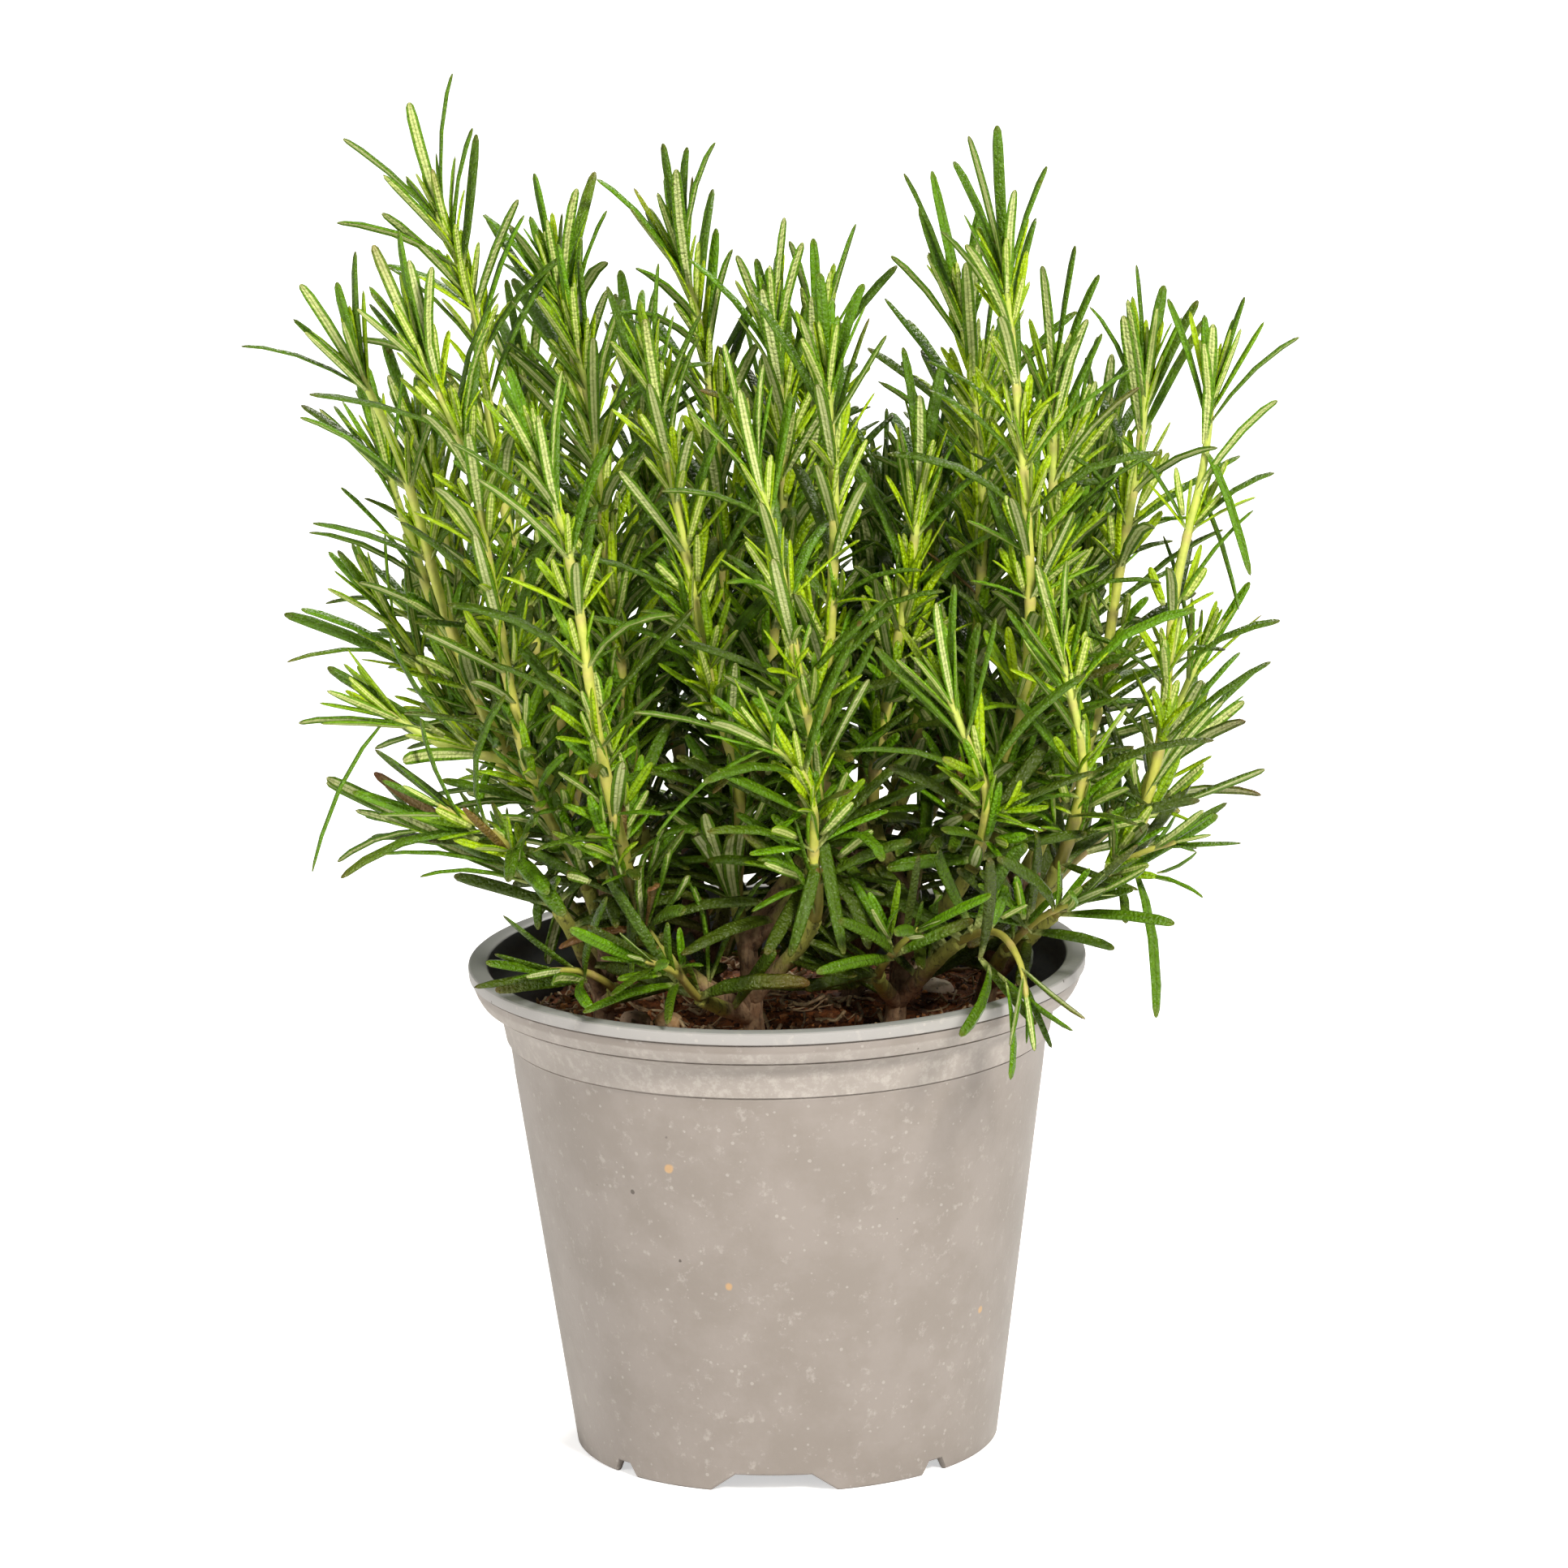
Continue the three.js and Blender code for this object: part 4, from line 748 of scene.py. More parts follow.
def close_group(graph: Graph, **outputs: Socket) -> bpy.types.NodeTree:
    """Joins a group's results to its outputs and returns the group.

    Args:
        graph: The group's graph.
        outputs: Its results, with underscores for spaces.

    Returns:
        The group.
    """
    sink = graph.tree.nodes.new("NodeGroupOutput")
    for name, value in outputs.items():
        graph.feed(sink.inputs[name.replace("_", " ")], value)
    return graph.tree


class Effects:
    """The effects that several materials share, as node groups."""

    def __init__(self) -> None:
        """Builds the groups."""
        self.mottle = self._mottle()
        self.specks = self._specks()
        self.grain = self._grain()

    def _mottle(self) -> bpy.types.NodeTree:
        """Two colours that wander into each other in soft patches.

        Returns:
            The group.
        """
        kinds = {"Vector": SocketKind.VECTOR, "Scale": SocketKind.VALUE, "First": SocketKind.COLOUR,
                 "Second": SocketKind.COLOUR}
        graph, given = new_group("mottle", kinds, {"Colour": SocketKind.COLOUR, "Patch": SocketKind.VALUE})
        wide = graph.noise(given["Vector"], given["Scale"], 5.0, 0.6)
        patch = graph.step(wide, 0.36, 0.64)
        colour = graph.mix(patch, given["First"], given["Second"])
        return close_group(graph, Colour=colour, Patch=patch)

    def _specks(self) -> bpy.types.NodeTree:
        """Small scattered spots of uneven size.

        Returns:
            The group.
        """
        kinds = {"Vector": SocketKind.VECTOR, "Scale": SocketKind.VALUE, "Share": SocketKind.VALUE}
        graph, given = new_group("specks", kinds, {"Mask": SocketKind.VALUE})
        cells = graph.node("ShaderNodeTexVoronoi", {"Vector": given["Vector"], "Scale": given["Scale"]})
        draws = graph.node("ShaderNodeSeparateColor", {0: cells.outputs["Color"]})
        chosen = graph.math("LESS_THAN", draws.outputs[0], given["Share"])
        size = graph.scaled(draws.outputs[1], 0.26, 0.08)
        ragged = graph.scaled(graph.noise(given["Vector"], given["Scale"], 3.0), 0.3, -0.15)
        distance = graph.math("ADD", cells.outputs["Distance"], ragged)
        inside = graph.step(graph.math("SUBTRACT", size, distance), 0.0, 0.08)
        return close_group(graph, Mask=graph.times(chosen, inside))

    def _grain(self) -> bpy.types.NodeTree:
        """A fine rough height of two noises, one coarse and one fine.

        Returns:
            The group.
        """
        kinds = {"Vector": SocketKind.VECTOR, "Coarse": SocketKind.VALUE, "Fine": SocketKind.VALUE}
        graph, given = new_group("grain", kinds, {"Height": SocketKind.VALUE})
        coarse = graph.noise(given["Vector"], given["Coarse"], 4.0, 0.6)
        fine = graph.noise(given["Vector"], given["Fine"], 2.0, 0.5)
        return close_group(graph, Height=graph.scaled(fine, 0.4, coarse))


class Coat(Graph):
    """A material in the making: its graph, its Principled shader and the shared effects."""

    def __init__(self, name: str, effects: Effects | None = None) -> None:
        """Starts the material.

        Args:
            name: The material's name.
            effects: The shared effects, for a material that uses them.
        """
        self.material = bpy.data.materials.new(name)
        self.material.use_nodes = True
        super().__init__(self.material.node_tree)
        self.shader = self.tree.nodes["Principled BSDF"]
        self.effects = effects
        self.where = self.node("ShaderNodeTexCoord").outputs["Object"]

    def mottle(self, scale: float, first: Colour, second: Colour) -> Socket:
        """Two colours that wander into each other."""
        group = self.use(self.effects.mottle, Vector=self.where, Scale=scale, First=first, Second=second)
        return group.outputs["Colour"]

    def specks(self, scale: float, share: float) -> Socket:
        """The mask of scattered spots."""
        return self.use(self.effects.specks, Vector=self.where, Scale=scale, Share=share).outputs["Mask"]

    def grain(self, coarse: float, fine: float) -> Socket:
        """The rough height of a coarse and a fine noise."""
        group = self.use(self.effects.grain, Vector=self.where, Coarse=coarse, Fine=fine)
        return group.outputs["Height"]

    def set_inputs(self, **inputs: object) -> None:
        """Feeds the shader's inputs, by name with underscores for spaces."""
        for name, value in inputs.items():
            self.feed(self.shader.inputs[name.replace("_", " ")], value)

    def bump(self, height: object, distance: float, strength: float) -> None:
        """Feeds a height to the shader's normal, with its depth in metres and how much of it shows."""
        bump = self.node("ShaderNodeBump", {"Height": height, "Distance": distance, "Strength": strength})
        self.set_inputs(Normal=bump.outputs["Normal"])


@dataclass(frozen=True)
class Finish:
    """A finish by the name of its material. Each kind of finish dresses the material in its own way."""

    name: str

    def dress(self, coat: Coat) -> None:
        """Builds the look. The plain kind keeps the shader as it is."""

    def make(self, effects: Effects) -> Material:
        """Makes the material.

        Args:
            effects: The shared effects.

        Returns:
            The new material.
        """
        coat = Coat(self.name, effects)
        self.dress(coat)
        return coat.material


# Finishes

@dataclass(frozen=True)
class PotPlastic(Finish):
    """Warm grey moulded plastic: pale dust and scuffs outside, partly painted light on the neck bands, darker
    inside, and a lip painted lighter and cooler as a painted highlight.

    The mesh's attribute pot_zone holds the masks of the lip, the rim's top and the inside.
    """

    name: str = "pot_plastic"
    outside: Colour = linear(145, 137, 131)
    outside_dark: Colour = linear(137, 129, 122)
    # The lip and the rim's top are painted lighter and cooler than the body: a painted highlight and sheen on
    # the one plastic.
    lip: Colour = linear(159, 157, 155)
    lip_top_highlight: Colour = linear(154, 155, 154)
    inside: Colour = linear(64, 66, 70)
    dust: Colour = linear(190, 184, 178)
    stain: Colour = linear(205, 160, 100)
    dirt: Colour = linear(70, 62, 55)

    def dress(self, coat: Coat) -> None:
        """Builds the look.

        Args:
            coat: The material in the making.
        """
        lip, top, inside = coat.parts("pot_zone")
        # Painted highlight: the lip and the rim's top get their lighter, cooler colours.
        colour = coat.mix(lip, coat.mottle(70.0, self.outside, self.outside_dark), self.lip)
        colour = coat.mix(top, colour, self.lip_top_highlight)
        colour = coat.mix(inside, colour, self.inside)
        outdoors = coat.rest(inside)
        dust = coat.times(coat.specks(700.0, 0.18), 0.62)
        smears = coat.times(coat.step(coat.noise(coat.where, 330.0, 6.0, 0.7), 0.56, 0.7), 0.6)
        # The pale marks are real dust and smears, and on the neck bands partly painted light that lifts the
        # shade of the cove and the leaves.
        pale = coat.math("MAXIMUM", coat.math("MAXIMUM", dust, smears), self._neck_wear_and_painted_light(coat))
        colour = coat.mix(coat.times(coat.times(pale, 0.6), outdoors), colour, self.dust)
        stain = coat.times(coat.specks(170.0, 0.03), 0.6)
        colour = coat.mix(coat.times(stain, outdoors), colour, self.stain)
        colour = coat.mix(coat.times(coat.specks(420.0, 0.012), 0.8), colour, self.dirt)
        coat.set_inputs(Base_Color=colour, Roughness=coat.scaled(pale, 0.22, 0.42))
        coat.bump(coat.grain(300.0, 1500.0), 0.0002, 0.35)

    def _neck_wear_and_painted_light(self, coat: Coat) -> Socket:
        """Finds the whitish marks on the two bands under the lip: partly real scuffs, partly painted light
        that lifts the shade the cove and the leaves cast there.

        Args:
            coat: The material in the making.

        Returns:
            The mask of wear and painted light.
        """
        # Painted light, partly real wear: the two neck bands are lightened where the cove and the leaves
        # shade them.
        height = coat.node("ShaderNodeSeparateXYZ", {0: coat.where}).outputs[2]
        above = coat.step(height, 0.0878, 0.089)
        below = coat.rest(coat.step(height, 0.0995, 0.1002))
        worn_and_painted_light = coat.step(coat.noise(coat.where, 380.0, 6.0, 0.75), 0.46, 0.66)
        return coat.times(coat.times(above, below), coat.scaled(worn_and_painted_light, 0.6, 0.4))


@dataclass(frozen=True)
class Peat(Finish):
    """Dark brown peat, crumbly and dull, with redder and paler crumbs."""

    name: str = "peat"
    dark: Colour = linear(74, 42, 21)
    brown: Colour = linear(152, 88, 45)
    crumb: Colour = linear(216, 150, 92)

    def dress(self, coat: Coat) -> None:
        """Builds the look.

        Args:
            coat: The material in the making.
        """
        colour = coat.mix(coat.specks(700.0, 0.25), coat.mottle(260.0, self.dark, self.brown), self.crumb)
        coat.set_inputs(Base_Color=colour, Roughness=0.85, Specular_IOR_Level=0.3)
        coat.bump(coat.grain(500.0, 1800.0), 0.0012, 0.8)


@dataclass(frozen=True)
class TintedBits(Finish):
    """Small bits whose colour runs from dark to pale with the attribute bit_tint."""

    dark: Colour
    pale: Colour
    roughness: float = 0.8

    def dress(self, coat: Coat) -> None:
        """Builds the look.

        Args:
            coat: The material in the making.
        """
        colour = coat.mix(coat.parts("bit_tint")[0], self.dark, self.pale)
        shade = coat.mottle(600.0, (1, 1, 1), (0.55, 0.52, 0.5))
        coat.set_inputs(Base_Color=coat.mix(1.0, colour, shade, "MULTIPLY"), Roughness=self.roughness)
        coat.bump(coat.grain(900.0, 2600.0), 0.0003, 0.6)


@dataclass(frozen=True)
class PebbleStone(Finish):
    """A dull water-worn stone with pits and darker flecks."""

    face: Colour
    shade: Colour
    fleck: Colour = linear(84, 62, 46)

    def dress(self, coat: Coat) -> None:
        """Builds the look.

        Args:
            coat: The material in the making.
        """
        flecks = coat.times(coat.specks(1100.0, 0.22), 0.6)
        colour = coat.mix(flecks, coat.mottle(330.0, self.face, self.shade), self.fleck)
        coat.set_inputs(Base_Color=colour, Roughness=0.7)
        coat.bump(coat.grain(700.0, 2500.0), 0.0004, 0.7)


@dataclass(frozen=True)
class Bark(Finish):
    """Brown cracked bark low down that turns to green young wood with bark_place's first value."""

    name: str = "bark"
    brown: Colour = linear(112, 82, 56)
    grey: Colour = linear(150, 122, 92)
    green: Colour = linear(150, 150, 62)
    crack: Colour = linear(48, 32, 22)

    def dress(self, coat: Coat) -> None:
        """Builds the look.

        Args:
            coat: The material in the making.
        """
        young = coat.parts("bark_place")[0]
        patchy = coat.math("ADD", young, coat.times(coat.noise(coat.where, 260.0, 4.0), 0.5))
        old = coat.mottle(420.0, self.brown, self.grey)
        colour = coat.mix(coat.step(patchy, 0.75, 1.05), old, self.green)
        upright = {"Vector": coat.where, "Scale": (1.0, 1.0, 0.22)}
        stretched = coat.node("ShaderNodeMapping", upright).outputs[0]
        cracks = coat.step(coat.noise(stretched, 900.0, 4.0, 0.7), 0.52, 0.7)
        colour = coat.mix(coat.times(cracks, 0.65), colour, self.crack)
        coat.set_inputs(Base_Color=colour, Roughness=0.75)
        height = coat.math("SUBTRACT", coat.noise(stretched, 1100.0, 5.0, 0.7), cracks)
        coat.bump(height, 0.0007, 0.8)


@dataclass(frozen=True)
class LeafSkin(Finish):
    """Rosemary leaf: glossy wrinkled green above, with painted shade in its groove and pale gland specks that
    are partly painted highlights; pale felt with a midrib and green margins below.

    leaf_place holds the place across, along and below; leaf_state holds age, tint and dryness.
    """

    name: str = "leaf_skin"
    young: Colour = linear(168, 198, 8)
    fresh: Colour = linear(98, 146, 4)
    grown: Colour = linear(74, 107, 6)
    old: Colour = linear(62, 78, 12)
    felt_young: Colour = linear(210, 222, 122)
    felt_old: Colour = linear(208, 214, 164)
    rib: Colour = linear(134, 156, 60)
    margin: Colour = linear(108, 152, 16)
    dead: Colour = linear(112, 74, 42)
    foot: Colour = linear(206, 214, 132)
    # Pale specks on the upper side: partly real oil glands, partly painted highlights of the wrinkles.
    gland_and_painted_highlight: Colour = linear(168, 196, 120)

    def dress(self, coat: Coat) -> None:
        """Builds the look.

        Args:
            coat: The material in the making.
        """
        across, along, below = coat.parts("leaf_place")
        age, tint, dry = coat.parts("leaf_state")
        away = coat.math("ABSOLUTE", across)
        # Painted shade: the groove along the middle of the upper side is darkened toward the old colour.
        painted_groove_shade = coat.times(coat.rest(coat.step(away, 0.0, 0.24)), 0.5)
        upper = coat.mix(painted_groove_shade, self._upper(coat, age, tint), self.old)
        rib = coat.times(coat.rest(coat.step(away, 0.03, 0.16)), 0.75)
        lower = coat.mix(rib, coat.mix(age, self.felt_young, self.felt_old), self.rib)
        edge = coat.step(away, 0.42, 0.58)
        lower = coat.mix(edge, lower, coat.mix(0.6, upper, self.margin))
        under = coat.step(below, 0.35, 0.6)
        shade = coat.mottle(900.0, (1.08, 1.08, 1.0), (0.84, 0.87, 0.8))
        colour = coat.mix(0.8, coat.mix(under, upper, lower), shade, "MULTIPLY")
        # Painted highlight, partly real glands: pale specks stand in for the glints on the wrinkled upper
        # side.
        glands_and_painted_highlights = coat.times(coat.specks(1500.0, 0.4), coat.rest(under))
        colour = coat.mix(coat.times(glands_and_painted_highlights, 0.22), colour, self.gland_and_painted_highlight)
        foot = coat.times(coat.rest(coat.step(along, 0.02, 0.16)), 0.75)
        colour = coat.mix(foot, colour, self.foot)
        brown = coat.times(self._browned(coat, along, age, dry), 0.85)
        colour = coat.mix(brown, colour, self.dead)
        gloss = coat.scaled(under, 0.34, 0.22)
        coat.set_inputs(Base_Color=colour, Roughness=gloss, Specular_IOR_Level=0.36)
        cells = coat.node("ShaderNodeTexVoronoi", {"Vector": coat.where, "Scale": 1250.0}).outputs["Distance"]
        quilt = coat.math("SUBTRACT", coat.grain(1300.0, 3200.0), coat.times(cells, 0.9))
        coat.bump(quilt, 0.0005, 0.85)

    def _upper(self, coat: Coat, age: Socket, tint: Socket) -> Socket:
        """Mixes the colour of a leaf's upper side.

        Args:
            coat: The material in the making.
            age: The leaf's age.
            tint: Its own tint.

        Returns:
            The colour.
        """
        shifted = coat.math("ADD", age, coat.times(coat.math("SUBTRACT", tint, 0.5), 0.22))
        colour = coat.mix(coat.step(shifted, 0.0, 0.35), self.young, self.fresh)
        colour = coat.mix(coat.step(shifted, 0.3, 0.65), colour, self.grown)
        return coat.mix(coat.step(shifted, 0.6, 1.0), colour, self.old)

    def _browned(self, coat: Coat, along: Socket, age: Socket,
                 dry: Socket) -> Socket:
        """Finds where a leaf is brown: dry ends, tips, spots on old leaves, and dead leaves whole.

        Args:
            coat: The material in the making.
            along: The place along the leaf.
            age: The leaf's age.
            dry: Its dryness.

        Returns:
            The mask.
        """
        tip = coat.times(coat.step(along, 0.9, 1.0), 0.3)
        ends = coat.math("ADD", coat.times(dry, coat.step(along, 0.35, 1.0)), tip)
        spots = coat.times(coat.specks(330.0, 0.05), age)
        whole = coat.step(dry, 0.75, 0.95)
        return coat.math("MAXIMUM", ends, coat.math("MAXIMUM", whole, spots))


@dataclass(frozen=True)
class StemSkin(Finish):
    """Smooth stem, yellow-green to pale green, browner low down and at its rings.

    stem_place holds the height along the stem, the nearness of a ring and the stem's tint.
    """

    name: str = "stem_skin"
    foot: Colour = linear(128, 118, 50)
    middle: Colour = linear(206, 206, 92)
    top: Colour = linear(198, 210, 100)
    ring: Colour = linear(188, 150, 116)
    scar: Colour = linear(112, 78, 44)

    def dress(self, coat: Coat) -> None:
        """Builds the look.

        Args:
            coat: The material in the making.
        """
        height, ring, tint = coat.parts("stem_place")
        colour = coat.mix(coat.step(height, 0.0, 0.3), self.foot, self.middle)
        colour = coat.mix(coat.step(height, 0.3, 0.9), colour, self.top)
        colour = coat.mix(coat.times(ring, 0.45), colour, self.ring)
        shade = coat.mottle(500.0, (1.06, 1.05, 1.0), (0.8, 0.84, 0.74))
        colour = coat.mix(0.7, colour, shade, "MULTIPLY")
        scars = coat.step(coat.noise(coat.where, 160.0, 4.0), 0.62, 0.72)
        low = coat.rest(coat.step(height, 0.25, 0.7))
        colour = coat.mix(coat.times(coat.times(scars, low), tint), colour, self.scar)
        coat.set_inputs(Base_Color=colour, Roughness=0.5)
        coat.bump(coat.grain(1200.0, 3000.0), 0.0002, 0.5)


# The pot

@dataclass
class Pot:
    """The thin moulded pot: flared lip, cove, two fine ledges, tapered wall, notched foot, drained floor."""

    columns: int = 240
    foot_radius: float = 44.5
    foot_width: float = 1.5
    foot_rounding: float = 0.4
    floor_underside: float = 4.0
    floor_top: float = 5.5
    drain_radius: float = 3.5
    drain_ring: float = 32.0
    drain_count: int = 6
    drain_sides: int = 24
    drain_heights: Pair = (1.0, 9.0)
    # Heights from which a point counts to the lip and to the rim's top
    lip_from: float = 101.8
    top_from: float = 104.25
    crease: float = 34.0
    # In metres
    weld: float = 2e-6
    # Half widths at the foot and at the top, and height
    wide_notch: tuple[float, float, float] = (13.4, 8.0, 3.9)
    narrow_notch: tuple[float, float, float] = (3.4, 1.8, 2.8)
    wide_places: tuple[float, ...] = (-4.0, 176.0)
    narrow_places: tuple[float, ...] = (-50.0, 43.6, 130.0, -136.4)
    # Radius and height of the outside above the foot, up to the lip
    outside: tuple[Pair, ...] = (
        (55.7, 81.0), (56.05, 84.0), (56.4, 86.6), (56.85, 88.3), (56.68, 88.45), (56.68, 88.7),
        (57.35, 88.8), (57.75, 91.0), (58.2, 93.0), (58.5, 94.2), (59.1, 95.2), (60.1, 96.0), (61.2, 96.65),
        (61.7, 96.9), (61.4, 97.05), (61.4, 97.35), (62.5, 97.45), (62.9, 98.0), (63.5, 99.1), (64.0, 100.4),
        (64.2, 101.5),
        (63.9, 101.65), (63.9, 101.95), (64.85, 102.05), (65.0, 103.7), (64.9, 104.2), (64.6, 104.45),
    )
    # Radius and height from the rim's top down the inside to the floor
    inside: tuple[Pair, ...] = (
        (64.0, 104.5), (62.6, 104.48), (61.3, 104.4), (60.9, 104.2), (60.7, 103.7), (60.4, 100.5),
        (60.1, 98.3), (59.2, 96.6), (57.9, 95.2), (57.2, 93.8), (56.6, 90.0), (54.6, 81.0), (49.4, 43.0),
        (44.4, 6.6), (43.9, 5.75), (43.0, 5.5),
    )

    def notch_height(self, angle: float) -> float:
        """How high the foot is cut away.

        Args:
            angle: The angle from the front in degrees.

        Returns:
            The height in millimetres, 0 on a foot.
        """
        radius = self.foot_radius
        for places, (foot, top, height) in ((self.wide_places, self.wide_notch),
                                            (self.narrow_places, self.narrow_notch)):
            for place in places:
                away = abs((angle - place + 180) % 360 - 180)
                sideways = radius * math.sin(math.radians(min(away, 90)))
                if sideways < foot:
                    return height * min(1.0, (foot - sideways) / (foot - top))
        return 0.0

    def angles(self) -> list[float]:
        """The angles of the columns from the front, in degrees, with one at each corner of a notch.

        Returns:
            The angles in rising order.
        """
        angles = {360 * i / self.columns - 180 for i in range(self.columns)}
        for places, notch in ((self.wide_places, self.wide_notch), (self.narrow_places, self.narrow_notch)):
            for place in places:
                for half in notch[:2]:
                    turn = math.degrees(math.asin(half / self.foot_radius))
                    angles.update(((place + sign * turn + 180) % 360 - 180) for sign in (-1, 1))
        return sorted(angles)

    def profile(self, cut: float) -> list[Pair]:
        """The wall's outline where the foot is cut by a height.

        Args:
            cut: The height of the cut in millimetres.

        Returns:
            Radius and height of each point, from the floor's underside round to its top.
        """
        taper = (self.outside[0][0] - self.foot_radius) / self.outside[0][1]
        inner_foot = self.foot_radius - self.foot_width
        rounding = self.foot_rounding
        points = [(inner_foot, self.floor_underside), (inner_foot, min(cut + rounding, 3.95)),
                  (inner_foot + rounding, cut), (self.foot_radius + taper * cut - rounding, cut),
                  (self.foot_radius + taper * (cut + rounding), cut + rounding)]
        for share in (0.15, 0.35, 0.55, 0.8):
            z = self.outside[0][1] * share
            points.append((self.foot_radius + taper * z, z))
        return [*points, *self.outside, *self.inside]

    def build(self, material: Material) -> None:
        """Builds the pot.

        Args:
            material: The pot's plastic.
        """
        columns = [(math.radians(angle), self.profile(self.notch_height(angle))) for angle in self.angles()]
        rows = len(columns[0][1])
        points = []
        for row in range(rows):
            for angle, profile in columns:
                radius, z = profile[row]
                points.append((radius * math.sin(angle), -radius * math.cos(angle), z))
        points.extend([(0, 0, self.floor_underside), (0, 0, self.floor_top)])
        batch = Batch()
        batch.add_rings(np.array(points), rows, len(columns))
        mesh = self._drained(new_object("pot_blank", batch.mesh("pot_blank")))
        mesh.set_sharp_from_angle(angle=math.radians(self.crease))
        mesh.name = "pot_shell"
        place("pot_shell", mesh, "pot", material, ["pot"])

    def _drained(self, blank: bpy.types.Object) -> bpy.types.Mesh:
        """Cuts the drain holes through the floor and welds what the cut leaves open.

        Args:
            blank: The pot without holes, which is removed.

        Returns:
            The pot's mesh.
        """
        sides = self.drain_sides
        turns = 2 * np.pi * np.arange(sides) / sides
        places = [(0.0, 0.0)]
        for i in range(self.drain_count):
            angle = 2 * math.pi * (i + 0.5) / self.drain_count
            places.append((self.drain_ring * math.cos(angle), self.drain_ring * math.sin(angle)))
        batch = Batch()
        for x, y in places:
            ring_x = x + self.drain_radius * np.cos(turns)
            ring_y = y + self.drain_radius * np.sin(turns)
            rings = [np.column_stack([ring_x, ring_y, np.full(sides, z)]) for z in self.drain_heights]
            batch.add_rings(np.concatenate([*rings, [[x, y, z] for z in self.drain_heights]]), 2, sides)
        cutter = new_object("drain_cutter", batch.mesh("drain_cutter"))
        cut = blank.modifiers.new("drains", "BOOLEAN")
        cut.object, cut.operation, cut.solver = cutter, "DIFFERENCE", "EXACT"
        evaluated = blank.evaluated_get(bpy.context.evaluated_depsgraph_get())
        mesh = bpy.data.meshes.new_from_object(evaluated)
        mesh.materials.clear()
        work = bmesh.new()
        work.from_mesh(mesh)
        bmesh.ops.remove_doubles(work, verts=work.verts, dist=self.weld)
        bmesh.ops.dissolve_degenerate(work, edges=work.edges, dist=self.weld)
        work.to_mesh(mesh)
        work.free()
        bpy.data.objects.remove(blank)
        bpy.data.objects.remove(cutter)
        self._mark_zones(mesh)
        return mesh

    def _mark_zones(self, mesh: bpy.types.Mesh) -> None:
        """Marks the lip, the rim's top and the inside in the attribute pot_zone.

        Args:
            mesh: The pot's mesh.
        """
        places = np.zeros(len(mesh.vertices) * 3, np.float32)
        mesh.vertices.foreach_get("co", places)
        x, y, z = places.reshape(-1, 3).T / METRES
        radius = np.hypot(x, y)
        heights = np.array([height for _, height in reversed(self.inside)])
        walls = np.array([wall for wall, _ in reversed(self.inside)])
        inside = (radius < np.interp(z, heights, walls) + 0.3) & (z > self.floor_top - 0.1)
        top = z > self.top_from
        lip = (z > self.lip_from) & ~inside
        zones = np.column_stack([lip & ~top, top, inside & ~top]).astype(np.float32)
        layer = mesh.attributes.new("pot_zone", "FLOAT_VECTOR", "POINT")
        layer.data.foreach_set("vector", zones.ravel())


# Soil, straw and pebbles

GOLDEN = (1 + math.sqrt(5)) / 2
# A ball of twenty triangles, from which each crumb is pressed
CRUMB_CORNERS = np.array([
    (-1, GOLDEN, 0), (1, GOLDEN, 0), (-1, -GOLDEN, 0), (1, -GOLDEN, 0), (0, -1, GOLDEN), (0, 1, GOLDEN),
    (0, -1, -GOLDEN), (0, 1, -GOLDEN), (GOLDEN, 0, -1), (GOLDEN, 0, 1), (-GOLDEN, 0, -1), (-GOLDEN, 0, 1),
]) / math.hypot(1, GOLDEN)
CRUMB_FACES = ((0, 11, 5), (0, 5, 1), (0, 1, 7), (0, 7, 10), (0, 10, 11), (1, 5, 9), (5, 11, 4), (11, 10, 2),
               (10, 7, 6), (7, 1, 8), (3, 9, 4), (3, 4, 2), (3, 2, 6), (3, 6, 8), (3, 8, 9), (4, 9, 5),
               (2, 4, 11), (6, 2, 10), (8, 6, 7), (9, 8, 1))


